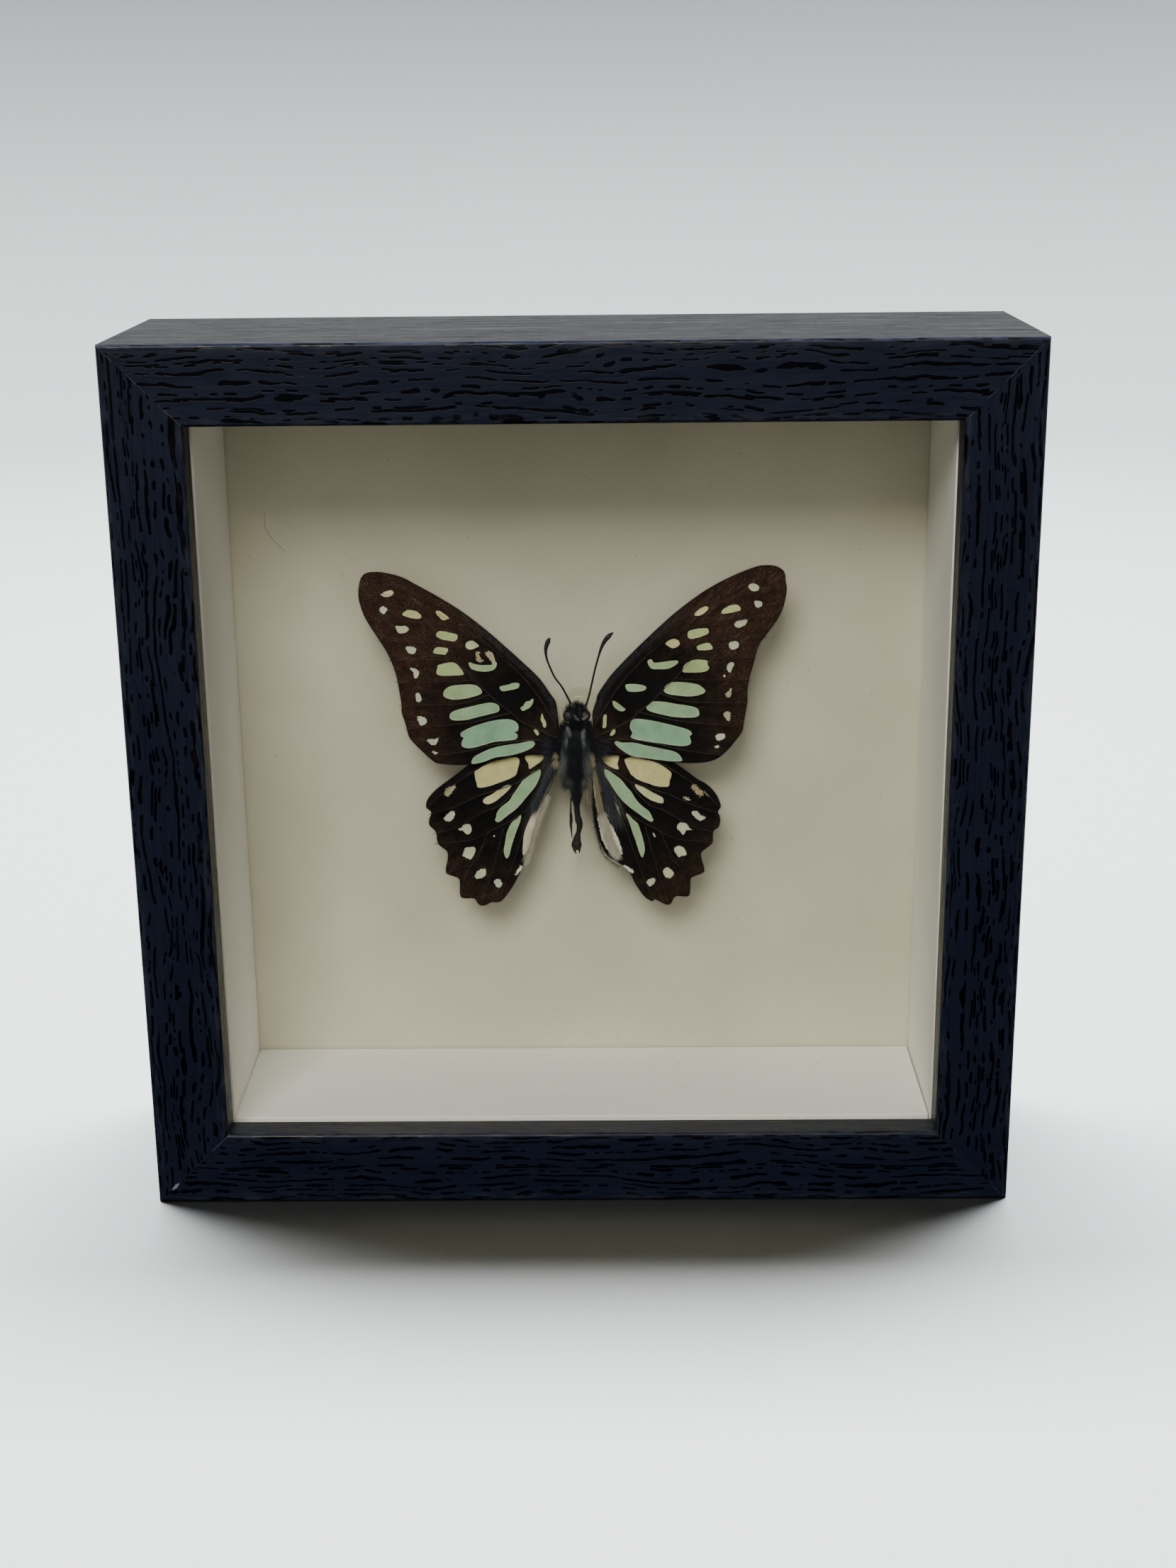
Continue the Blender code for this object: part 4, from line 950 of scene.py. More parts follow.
VEINS_FOREWING_LEFT = (
    ((-4.0, 2.2), (-10.0, 5.2), (-12.0, 7.0), (-14.0, 8.6), (-15.9, 10.5), (-18.6, 13.2), (-20.5, 15.4),
     (-21.8, 17.0)),
    ((-21.8, 17.0), (-25.9, 17.0), (-33.4, 16.9)),
    ((-21.8, 17.0), (-21.7, 17.9), (-20.9, 19.4), (-20.2, 22.1)),
    ((-20.9, 19.4), (-21.5, 19.1), (-23.4, 19.8), (-26.7, 20.2), (-35.2, 20.6)),
    ((-20.2, 22.1), (-23.7, 23.2), (-27.5, 23.7), (-37.2, 24.5)),
    ((-4.0, 4.6), (-8.0, 11.2), (-12.0, 15.8), (-16.5, 20.0), (-20.2, 22.1)),
    ((-17.2, 21.0), (-20.5, 24.3), (-25.5, 27.3), (-34.0, 31.2)),
    ((-13.5, 18.1), (-18.0, 22.6), (-24.0, 26.9)),
    ((-18.6, 13.2), (-22.0, 12.9), (-32.4, 12.9)),
    ((-15.9, 10.4), (-20.0, 9.0), (-24.0, 8.7), (-31.9, 8.6)),
    ((-12.0, 7.0), (-15.0, 6.3), (-20.0, 5.2), (-31.0, 4.2)),
    ((-5.0, 1.6), (-8.0, 1.9), (-12.0, 1.6), (-16.0, 0.9), (-20.0, -0.1), (-27.0, -1.0)),
    ((-20.2, 22.1), (-23.0, 24.4), (-30.0, 28.0), (-38.5, 29.8)),
)
VEINS_HINDWING_RIGHT = (
    ((3.5, -0.8), (9.0, -1.2), (14.0, -2.6), (18.5, -5.4), (22.5, -8.4), (25.2, -11.2)),
    ((3.2, -2.4), (7.0, -4.9), (9.0, -6.3), (12.5, -7.7), (16.0, -8.8), (20.0, -10.7), (24.9, -12.3)),
    ((9.0, -6.3), (10.5, -8.8), (12.7, -10.9), (15.3, -11.9), (20.0, -14.8), (24.1, -16.0)),
    ((3.0, -4.2), (5.0, -8.0), (7.5, -11.5), (11.5, -14.2), (14.3, -15.7), (15.3, -17.8)),
    ((14.3, -15.7), (17.2, -17.2), (20.0, -17.6), (24.0, -18.0)),
    ((15.3, -17.8), (17.0, -21.8), (19.5, -22.6), (22.2, -23.8)),
    ((15.3, -17.8), (17.5, -22.0), (18.5, -24.0), (19.6, -27.4)),
    ((11.8, -15.0), (13.0, -19.5), (14.0, -23.5), (16.0, -29.8)),
    ((7.0, -11.5), (8.5, -16.0), (10.2, -21.5), (11.8, -25.8), (13.2, -29.2)),
)


# what the right forewing's windows, and each forewing's outline, are drawn in by: a share of across,
# and where that share sets in and is full
TIP_LEFT = (0.021, 24.0, 37.0)
TIP_RIGHT = (0.015, 22.0, 36.0)
TIP_WINDOWS_RIGHT = (0.015, 22.0, 34.0)
SETTLE = 0.007
SETTLE_CENTRE = 27.0


def drawn_in(points, share, start, full):
    """A line of a wing table with its tip drawn in: across less a share of it that grows outwards."""
    moved = []
    for across, up in points:
        grown = float(smoothstep(start, full, abs(across)))
        moved.append((round(across * (1 - share * grown), 1), up))
    return tuple(moved)


def settled(points):
    """A line of a wing table with its heights drawn in: up less 0.7 % of its distance above 27 mm."""
    return tuple((across, round(up - SETTLE * (up - SETTLE_CENTRE), 2)) for across, up in points)


def mirrored(veins, from_root, to_root, stretch):
    """The same veins on the other wing: flipped across, moved to its root and stretched to its reach."""
    return tuple(
        tuple((to_root - (across - from_root) * stretch, up) for across, up in vein) for vein in veins
    )


WINGS = {
    "forewing_left": {
        "outline": drawn_in(FOREWING_LEFT, *TIP_LEFT), "root": (-4.3, 2.2), "depth": 28.4,
        "windows": WINDOWS_FOREWING_LEFT,
        "veins": VEINS_FOREWING_LEFT, "leading": (1, 13), "brown": (9.0, 30.0), "silk": None,
    },
    "forewing_right": {
        "outline": drawn_in(FOREWING_RIGHT, *TIP_RIGHT), "root": (3.2, 2.2), "depth": 28.4,
        "windows": [(*look, drawn_in(line, *TIP_WINDOWS_RIGHT)) for *look, line in WINDOWS_FOREWING_RIGHT],
        "veins": mirrored(VEINS_FOREWING_LEFT, -3.6, 2.5, 0.974), "leading": (1, 12), "brown": (11.0, 32.0),
        "silk": None,
    },
    "hindwing_left": {
        "outline": HINDWING_LEFT, "root": (-5.6, -1.0), "depth": 29.3, "windows": WINDOWS_HINDWING_LEFT,
        "veins": mirrored(VEINS_HINDWING_RIGHT, 2.5, -4.2, 1.04), "leading": (0, 3), "brown": (12.0, 38.0),
        "silk": ((-4.2, -1.0), (-4.6, -6.0), (-6.6, -10.5), (-8.4, -14.5)),
    },
    "hindwing_right": {
        "outline": HINDWING_RIGHT, "root": (4.2, -1.0), "depth": 29.3, "windows": WINDOWS_HINDWING_RIGHT,
        "veins": VEINS_HINDWING_RIGHT, "leading": (0, 3), "brown": (12.0, 38.0),
        "silk": ((3.0, -1.0), (4.0, -6.0), (5.2, -10.5), (6.4, -14.5)),
    },
}
for wing_facts in WINGS.values():
    wing_facts["outline"] = settled(wing_facts["outline"])
    wing_facts["windows"] = [(*look, settled(line)) for *look, line in wing_facts["windows"]]
    wing_facts["veins"] = [settled(vein) for vein in wing_facts["veins"]]

# a wing's grid: rings at its front and back, crowded to the rim, and spokes
RINGS = 150
SPOKES = 420
BACK_RINGS = 16
RINGS_CROWD_RIM = 0.85
WING_THICKNESS = 0.09
WINDOW_REACH = 1.0
# how the pattern's rays spread from the root and lie apart, and how far ragged edges reach
RAY_SPREAD = 18.0
RAY_LAYER = 9.0
RAGGED_GAIN = 2.5
# relief of a wing's plate: a pleat along each vein, and one slow wave
PLEAT_HEIGHT = 0.1
PLEAT_WIDTH = 0.5
WAVE_HEIGHT = 0.12
# a vein's tube: rows along it, radius at the root and what it loses, how deep it sinks
VEIN_ROWS = 70
VEIN_RADIUS = 0.11
VEIN_TAPER = 0.065
VEIN_SINK = 0.02
WING_REACH = 36


def read_windows(points, windows):
    """Signed distance to the nearest window's outline, with that window's tone and raggedness.

    The distance is positive inside the window, and no point counts as further off than WINDOW_REACH.
    """
    deep = np.full(len(points), -WINDOW_REACH)
    tone, ragged = np.zeros(len(points)), np.zeros(len(points))
    for window_tone, window_ragged, outline in windows:
        line = smooth_path(outline, 5, closed=True)
        near = np.flatnonzero(
            ((points > line.min(0) - WINDOW_REACH) & (points < line.max(0) + WINDOW_REACH)).all(1)
        )
        if len(near):
            signed = distance(points[near], np.vstack((line, line[:1])))
            signed *= np.where(inside(points[near], line), 1, -1)
            better = near[signed > deep[near]]
            deep[better] = signed[signed > deep[near]]
            tone[better], ragged[better] = window_tone, window_ragged
    return deep, tone, ragged


def wing_depth(wing, points):
    """Depth of the wing's front surface at (across, up).

    The plate leans to the front towards its tip, stands proud along each vein by a bell curve of the
    distance to it, and rolls in one slow wave.
    """
    ridge = np.full(len(points), np.inf)
    for vein in wing["veins"]:
        ridge = np.minimum(ridge, distance(points, smooth_path(vein, 4)))
    lean = np.abs(points[:, 0] - BODY_CENTRE) * WING_RISE
    wave = WAVE_HEIGHT * np.sin(0.22 * points[:, 0] + 0.31 * points[:, 1])
    return wing["depth"] - lean - PLEAT_HEIGHT * np.exp(-(ridge / PLEAT_WIDTH) ** 2) + wave


def build_wing(name, wing):
    """A thin wing as a fan: rings between the root and the outline, front and back joined round the rim.

    A point is root + f(outline - root), with f from 0 at the root to 1 at the rim. The values that
    its finish reads are distances, in mm, from the windows, the rim and the leading edge, and shares
    that rise or fall with the reach from the root. Its ray runs out from the root: a turn about the
    root times a spread, the reach, and a layer that keeps the wings' patterns apart.
    """
    outline = evenly(smooth_path(wing["outline"], 8, closed=True), SPOKES, closed=True)
    root = np.array(wing["root"])
    parts = []
    for rings in (RINGS, BACK_RINGS):
        share = (np.arange(1, rings + 1) / rings) ** RINGS_CROWD_RIM
        flat = root + share[:, None, None] * (outline - root)
        parts.append(np.vstack((root, flat.reshape(-1, 2))))
    flat = np.vstack(parts)
    depth = wing_depth(wing, flat)
    front_count = len(parts[0])
    depth[front_count:] += WING_THICKNESS
    spoke = np.arange(SPOKES)
    after = (spoke + 1) % SPOKES
    front = grid_faces(RINGS, SPOKES) + 1
    hub = np.stack((np.zeros(SPOKES, int), after + 1, spoke + 1), -1)
    back = (grid_faces(BACK_RINGS, SPOKES) + 1)[:, ::-1] + front_count
    back_hub = hub[:, ::-1] + front_count
    front_rim = 1 + (RINGS - 1) * SPOKES
    back_rim = front_count + 1 + (BACK_RINGS - 1) * SPOKES
    rim = np.stack((front_rim + spoke, front_rim + after, back_rim + after, back_rim + spoke), -1)
    deep, tone, ragged = read_windows(flat, wing["windows"])
    rim_distance = distance(flat, np.vstack((outline[::3], outline[:1])))
    out = flat - root
    reach = np.hypot(out[:, 0], out[:, 1])
    turn = np.arctan2(out[:, 1], np.abs(out[:, 0])) * RAY_SPREAD
    layer = np.full(len(flat), RAY_LAYER * len(name) + wing["depth"])
    ray = np.stack((turn, reach, layer), -1)
    first, last = wing["leading"]
    leading = distance(flat, smooth_path(wing["outline"][first:last], 4))
    silk = np.zeros(len(flat))
    if wing["silk"]:
        near = distance(flat, smooth_path(wing["silk"], 4))
        silk = smoothstep(3.0, 0.8, near) * smoothstep(17.0, 9.0, reach) * 0.9
    margin_brown = smoothstep(*wing["brown"], reach) * 0.8
    root_brown = smoothstep(10.0, 4.0, reach) * 0.42
    values = {
        "window": deep, "tone": tone, "ragged": ragged * RAGGED_GAIN, "rim": rim_distance, "ray": ray,
        "brown": np.maximum(margin_brown, root_brown) + 0.1,
        "costa": smoothstep(1.5, 0.9, leading) * smoothstep(32.0, 20.0, reach),
        "silk": silk,
    }
    part = np.column_stack((flat, depth)), [front, hub, back, back_hub, rim], values
    make_piece(f"{name}_membrane", part, (WING,), (name,))


def build_veins(name, wing):
    """Veins as half-sunk tubes on the wing's front surface, six-sided rings along each vein.

    A tube's radius falls smoothly from near the root to near the margin.
    """
    parts = []
    angle = np.arange(6) * math.pi / 3
    for vein in wing["veins"]:
        line = evenly(smooth_path(vein, 8), VEIN_ROWS)
        ahead = np.gradient(line, axis=0)
        ahead /= np.linalg.norm(ahead, axis=1)[:, None]
        side = np.column_stack((-ahead[:, 1], ahead[:, 0]))
        root_distance = np.hypot(*(line - wing["root"]).T)
        radius = VEIN_RADIUS - VEIN_TAPER * smoothstep(3.0, 30.0, root_distance)
        depth = wing_depth(wing, line) + VEIN_SINK
        across = line[:, None] + side[:, None] * (radius[:, None] * np.cos(angle))[..., None]
        deep = depth[:, None] - radius[:, None] * np.sin(angle)
        rings = np.concatenate((across, deep[..., None]), -1)
        parts.append(tube(rings, reach=root_distance / WING_REACH))
    make_piece(f"{name}_veins", joined(parts), (VEIN,))


# ---------------------------------------------------------------- body

def loft(stations, sides=24, rows=60, bumps=0.0, count=0, **values):
    """Oval rings along a smooth line through stations of (across, up, half width, half depth).

    A ring is centre + sideways*width*cos + depth*sin; each half size may swell by a rectified sine,
    which gives rings or segments along the line.
    """
    line = evenly(smooth_path(stations, 8), rows)
    ahead = np.gradient(line[:, :2], axis=0)
    ahead /= np.linalg.norm(ahead, axis=1)[:, None] + 1e-9
    side = np.column_stack((-ahead[:, 1], ahead[:, 0]))
    angle = np.linspace(0, 2 * math.pi, sides, endpoint=False)
    swell = 1 + bumps * np.abs(np.sin(np.linspace(0, count * math.pi, rows)))
    half = np.maximum(line[:, 2:] * swell[:, None], 0.02)
    flat = line[:, None, :2] + side[:, None] * (half[:, :1] * np.cos(angle))[..., None]
    deep = BODY_DEPTH + half[:, 1:] * np.sin(angle)
    return tube(np.concatenate((flat, deep[..., None]), -1), **values)


def ball(centre, radii, rows=20, columns=28):
    """An ellipsoid with its poles up and down: centre + radii * (sin a cos b, cos a, sin a sin b)."""
    a = np.linspace(0.06, math.pi - 0.06, rows)[:, None]
    b = np.linspace(0, 2 * math.pi, columns, endpoint=False)
    unit = np.stack(np.broadcast_arrays(np.sin(a) * np.cos(b), np.cos(a), np.sin(a) * np.sin(b)), -1)
    return tube(np.array(centre) + unit * np.array(radii))


HEAD = (
    (-0.4, 8.2, 0.1, 0.1), (-0.4, 8.0, 0.9, 0.8), (-0.4, 7.4, 1.45, 1.3), (-0.4, 6.6, 1.6, 1.5),
    (-0.4, 5.9, 1.6, 1.45), (-0.4, 5.4, 1.65, 1.3), (-0.4, 5.0, 1.5, 1.2), (-0.4, 4.8, 1.0, 0.9),
)
THORAX = (
    (-0.6, 5.0, 0.4, 0.4), (-0.6, 4.7, 1.3, 1.3), (-0.6, 3.6, 1.95, 2.0), (-0.6, 1.6, 2.2, 2.35),
    (-0.6, -0.4, 2.25, 2.35), (-0.6, -2.2, 1.95, 2.1), (-0.7, -3.8, 1.4, 1.6), (-0.8, -4.5, 0.8, 0.9),
)
ABDOMEN = (
    (-0.7, -4.3, 0.9, 0.9), (-0.6, -5.4, 1.15, 1.2), (-0.5, -7.5, 1.05, 1.1), (-0.6, -9.2, 0.75, 0.85),
    (-0.6, -10.6, 0.55, 0.75), (-0.5, -12.2, 0.5, 0.65), (-0.3, -13.4, 0.58, 0.68),
    (-0.1, -14.3, 0.55, 0.65), (-0.3, -15.6, 0.42, 0.5), (-0.6, -16.8, 0.6, 0.6),
    (-0.7, -17.8, 0.86, 0.8), (-0.7, -18.6, 0.78, 0.7), (-0.7, -19.0, 0.5, 0.5),
)
CLASPERS = (
    ((-1.2, -18.2, 0.3, 0.3), (-1.15, -18.9, 0.28, 0.25), (-0.95, -19.5, 0.16, 0.16),
     (-0.8, -19.9, 0.04, 0.04)),
    ((-0.3, -18.2, 0.3, 0.3), (-0.2, -18.9, 0.25, 0.25), (-0.18, -19.4, 0.14, 0.14),
     (-0.25, -19.8, 0.04, 0.04)),
)
LEG = (
    (-1.6, -9.0, 0.1, 0.12), (-1.68, -10.8, 0.13, 0.14), (-1.7, -11.8, 0.18, 0.18),
    (-1.65, -12.6, 0.26, 0.22), (-1.65, -13.6, 0.27, 0.22), (-1.7, -14.4, 0.22, 0.2),
    (-1.6, -15.4, 0.14, 0.14), (-1.5, -16.8, 0.06, 0.08),
)
ANTENNA_LEFT = (
    (-1.3, 8.2, 0.18, 0.18), (-2.9, 11.4, 0.16, 0.16), (-4.1, 13.1, 0.16, 0.16), (-4.9, 14.8, 0.16, 0.16),
    (-5.5, 16.4, 0.17, 0.17), (-5.75, 17.8, 0.23, 0.23), (-5.65, 18.9, 0.33, 0.3),
    (-5.3, 19.9, 0.38, 0.33), (-4.98, 20.5, 0.12, 0.12),
)
ANTENNA_RIGHT = (
    (1.2, 7.8, 0.18, 0.18), (1.9, 10.2, 0.16, 0.16), (2.4, 12.4, 0.16, 0.16), (2.9, 14.6, 0.16, 0.16),
    (3.5, 16.8, 0.17, 0.17), (4.0, 18.4, 0.23, 0.23), (4.6, 19.7, 0.33, 0.3), (5.4, 20.7, 0.38, 0.33),
    (6.2, 21.4, 0.12, 0.12),
)


def build_body():
    """Head with eyes and feelers, thorax, ringed abdomen with its two end claspers, and a hind leg."""
    make_piece("head_shell", loft(HEAD, warm=0.1), (SHELL,), ("head",))
    eyes = [ball((BODY_CENTRE + 0.2 + side * 1.45, 6.35, BODY_DEPTH - 0.3), (1.05, 1.12, 1.05))
            for side in (-1, 1)]
    make_piece("eyes", joined(eyes), (EYE,))
    make_piece("thorax_shell", loft(THORAX, 32, warm=0.0), (SHELL,), ("thorax",))
    warm = np.linspace(0, 1, 120) ** 2
    abdomen = [loft(ABDOMEN, 24, 120, 0.09, 9, warm=warm)]
    abdomen += [loft(clasper, 12, 20, warm=1.0) for clasper in CLASPERS]
    make_piece("abdomen_shell", joined(abdomen), (SHELL,), ("abdomen",))
    make_piece("hind_leg", loft(LEG, 12, 60, 0.12, 14, warm=1.0), (SHELL,), ("leg",))
    for side, stations in (("left", ANTENNA_LEFT), ("right", ANTENNA_RIGHT)):
        part = loft(stations, 12, 260, 0.16, 40, warm=0.0)
        make_piece(f"feeler_{side}", part, (SHELL,), (f"antenna_{side}",))


def build_post():
    """The clear resin foot behind the body: a turned profile with a rolled rim, flat against the board.

    A ring is centre + radius(cos a, sin a); the rim is a quarter circle from the flat front.
    """
    centre, front, back, rim = (0.3, 5.7), 32.0, BOARD_DEPTH - 0.3, 0.6
    profile = [(3.2 * s, front) for s in (0.25, 0.5, 0.75)]
    profile += [(3.0 + rim * math.sin(a), front + rim - rim * math.cos(a))
                for a in np.linspace(0, math.pi / 2, 8)]
    profile += [(3.5, 34.6), (3.65, back)]
    radius, depth = np.array(profile).T
    angle = np.linspace(0, 2 * math.pi, 64, endpoint=False)
    across = centre[0] + radius[:, None] * np.cos(angle)
    up = centre[1] + radius[:, None] * np.sin(angle)
    rings = np.stack((across, up, np.broadcast_to(depth[:, None], across.shape)), -1)
    make_piece("resin_foot", tube(rings), (GLUE,), ("clear_post",))


# ---------------------------------------------------------------- hair

# hairs in the thorax coat and round one wing's rim, and rings of points along a hair
THORAX_HAIRS = 7000
FRINGE_HAIRS = 900
HAIR_ROWS = 5


def strands(roots, directions, lengths, width, bend, shade):
    """Tapering three-sided hairs.

    A hair's middle is root + direction*length*t + bend*t*t, its half width falls as (1 - t) to the
    power 0.6, and a small triangle closes each end.
    """
    count, rows = len(roots), HAIR_ROWS
    t = np.linspace(0, 1, rows)[None, :, None]
    directions = directions / np.linalg.norm(directions, axis=1)[:, None]
    middle = roots[:, None] + directions[:, None] * lengths[:, None, None] * t + bend[:, None] * t**2
    side = np.cross(directions, (0.31, 0.17, 0.94))
    side /= np.linalg.norm(side, axis=1)[:, None]
    other = np.cross(directions, side)
    angle = np.arange(3) * 2 * math.pi / 3
    around = side[:, None] * np.cos(angle)[:, None] + other[:, None] * np.sin(angle)[:, None]
    half = width * np.maximum(1 - t, 0.02) ** 0.6
    points = middle[:, :, None] + around[:, None] * half[..., None]
    start = np.arange(count)[:, None] * rows * 3
    quads = (start[..., None] + grid_faces(rows, 3)[None]).reshape(-1, 4)
    caps = np.concatenate((start + np.array((0, 2, 1)), start + (rows - 1) * 3 + np.array((0, 1, 2))))
    values = {
        "shade": np.repeat(np.clip(shade, 0, 1), rows * 3),
        "tip": np.tile(np.repeat(t.ravel(), 3), count),
    }
    return points.reshape(-1, 3), [quads, caps], values


def ragged(count, spread):
    """Random vectors, the same each run."""
    return draw.normal(0, spread, (count, 3))


def pile(line, count, offset, toward, length, width, shade, spread=0.18, sag=0.25):
    """Hairs rooted along a line of (across, up, depth), leaning one way, with random length and shade.

    A root is a random point of the line moved by a random offset, a hair's length is the given one
    times 0.55 to 1.15, and its direction and bend vary by spread and sag.
    """
    at = draw.random(count)
    path = evenly(smooth_path(line, 6), 200)
    index = at * 199
    roots = np.stack([np.interp(index, np.arange(200), path[:, k]) for k in range(3)], -1)
    roots += ragged(count, offset)
    directions = np.array(toward, float) + ragged(count, spread)
    lengths = length * (0.55 + 0.6 * draw.random(count))
    bend = ragged(count, sag)
    shades = shade + draw.normal(0, 0.06, count)
    return strands(roots, directions, lengths, width, bend, shades)


def build_thorax_fur():
    """A dense coat over the thorax and waist, lying back along the body.

    Its shade is dark along the middle line, pale in two short stripes behind the head, and silver
    at the sides further back.
    """
    count = THORAX_HAIRS
    up = draw.uniform(-5.6, 4.9, count)
    angle = draw.uniform(-0.25, math.pi + 0.25, count)
    line = evenly(smooth_path(THORAX + ABDOMEN[1:3], 8), 300)[::-1]
    middle, width, deep = (np.interp(up, line[:, 1], line[:, k]) for k in (0, 2, 3))
    cosine, sine = np.cos(angle), np.sin(angle)
    roots = np.column_stack((middle + width * cosine, up, BODY_DEPTH - deep * sine))
    outward = np.column_stack((cosine, np.zeros(count), -sine))
    directions = 0.4 * outward + np.array((0, -1.0, 0)) + ragged(count, 0.17)
    directions[:, 0] += 0.3 * cosine * smoothstep(2, -4, up)
    lengths = 0.8 + 0.8 * draw.random(count) + 1.3 * smoothstep(1, -4, up) * np.abs(cosine)
    offset = np.abs(width * cosine + 0.12)
    stripe = np.exp(-((offset - 1.3) / 0.3) ** 2) * smoothstep(0.8, 2.6, up)
    silver = 0.55 * smoothstep(4.0, 2.0, up) + 0.55 * smoothstep(1.5, -1.5, up)
    silver = smoothstep(0.65, 1.5, offset) * silver
    shade = 0.1 + 0.42 * stripe + 0.44 * silver * (0.7 + 0.6 * draw.random(count))
    shade += draw.normal(0, 0.07, count)
    part = strands(roots, directions, lengths, 0.035, ragged(count, 0.16), shade)
    make_piece("thorax_fur", part, (HAIR,), flat=True)


def build_head_tufts():
    """Upright tufts over the brow, a pale crescent inside each eye, and dark bristles between.

    A pile here is its line, count, offset, direction, length, width, shade, spread and sag.
    """
    parts = [
        pile(((-2.3, 7.3, 28.2), (-1.4, 8.1, 28.0), (-0.5, 8.4, 28.0), (0.5, 8.1, 28.0), (1.3, 7.3, 28.4)),
             520, 0.18, (0.05, 0.8, -0.6), 1.1, 0.035, 0.16, 0.3),
        pile(((-1.2, 8.0, 27.8), (-0.7, 8.3, 27.8)), 90, 0.12, (-0.1, 1, -0.3), 0.9, 0.035, 0.66, 0.3),
        pile(((0.1, 8.0, 27.9), (0.9, 7.7, 28.1)), 90, 0.15, (0.3, 1, -0.3), 0.9, 0.035, 0.6, 0.3),
        pile(((-0.75, 6.95, 27.3), (-0.55, 6.55, 27.2), (-0.2, 6.2, 27.2)),
             300, 0.09, (0.2, -0.6, -0.7), 0.45, 0.04, 0.66, 0.2, 0.05),
        pile(((1.45, 6.7, 27.9), (1.2, 6.4, 27.6), (0.8, 6.15, 27.4)),
             240, 0.08, (-0.2, -0.6, -0.7), 0.4, 0.04, 0.66, 0.2, 0.05),
        pile(((-2.9, 5.6, 28.3), (-2.5, 5.1, 28.2)), 60, 0.1, (-0.2, -0.6, -0.7), 0.5, 0.035, 0.8, 0.3, 0.1),
        pile(((-0.6, 7.8, 27.6), (-0.2, 5.2, 27.3)), 420, 0.34, (0, 0.2, -1), 0.7, 0.035, 0.03, 0.3),
        pile(((-2.6, 5.4, 28.2), (-1.4, 4.9, 27.3), (0.4, 4.9, 27.3), (1.5, 5.4, 28.2)),
             520, 0.2, (0, -0.4, -1), 0.9, 0.035, 0.06, 0.3),
        pile(((-2.1, 4.8, 27.2), (-1.8, 4.3, 27.0), (-1.65, 3.4, 26.8)),
             200, 0.12, (0.15, -0.9, -0.5), 0.7, 0.035, 0.64, 0.25, 0.1),
        pile(((0.95, 4.3, 27.0), (0.75, 3.9, 26.9), (0.75, 3.0, 26.8)),
             200, 0.12, (-0.1, -0.9, -0.5), 0.7, 0.035, 0.64, 0.25, 0.1),
    ]
    make_piece("head_tufts", joined(parts), (HAIR,), flat=True)


def build_waist_fur():
    """Long grey hairs that fan from the thorax and the hindwing bases down both sides of the abdomen."""
    parts = [
        pile(((-2.5, 0.6, 28.0), (-2.7, -1.6, 27.9), (-2.3, -3.6, 27.9), (-1.8, -4.8, 28.0)),
             1500, 0.22, (0.1, -1, -0.05), 2.3, 0.024, 0.64, 0.1, 0.2),
        pile(((-2.9, -2.4, 28.4), (-2.3, -4.6, 28.4)), 300, 0.2, (0.06, -1, 0.0), 3.0, 0.02, 0.7, 0.08, 0.2),
        pile(((1.3, 0.6, 28.0), (1.4, -1.6, 27.9), (1.0, -3.6, 27.9), (0.5, -4.8, 28.0)),
             1400, 0.22, (0.0, -1, -0.05), 2.5, 0.024, 0.66, 0.1, 0.2),
        pile(((1.4, -2.8, 28.5), (1.1, -5.4, 28.5), (1.0, -7.5, 28.6)),
             1100, 0.26, (0.06, -1, 0.08), 5.2, 0.02, 0.78, 0.05, 0.2),
        pile(((-1.9, -3.9, 28.2), (-1.5, -5.2, 28.2), (-1.3, -6.6, 28.3)),
             420, 0.2, (0.12, -1, -0.05), 2.2, 0.024, 0.34, 0.08, 0.15),
        pile(((0.7, -3.9, 28.2), (0.3, -5.2, 28.2), (0.1, -6.6, 28.3)),
             420, 0.2, (-0.1, -1, -0.05), 2.2, 0.024, 0.4, 0.08, 0.15),
        pile(((-0.6, -4.4, 27.8), (-0.55, -9.0, 28.1)),
             700, 0.26, (0, -1, -0.2), 1.2, 0.028, 0.13, 0.14, 0.12),
        pile(((-1.4, -5.6, 28.5), (-1.3, -9.4, 28.6)),
             220, 0.1, (-0.3, -0.9, -0.1), 0.9, 0.02, 0.3, 0.2, 0.2),
        pile(((0.2, -5.6, 28.5), (0.0, -9.4, 28.6)), 160, 0.1, (0.35, -0.9, -0.1), 0.8, 0.02, 0.3, 0.2, 0.2),
    ]
    make_piece("waist_fur", joined(parts), (HAIR,), flat=True)
    sides = [
        pile(((-2.5, 5.3, 28.7), (-3.2, 3.6, 28.7), (-3.4, 1.2, 28.7), (-3.3, -1.4, 28.6)),
             1500, 0.26, (-0.3, -0.85, -0.15), 1.2, 0.035, 0.08, 0.25),
        pile(((1.5, 5.3, 28.7), (2.0, 3.6, 28.7), (2.2, 1.2, 28.7), (2.15, -1.4, 28.6)),
             1500, 0.26, (0.3, -0.85, -0.15), 1.2, 0.035, 0.08, 0.25),
    ]
    make_piece("flank_fur", joined(sides), (HAIR,), flat=True)


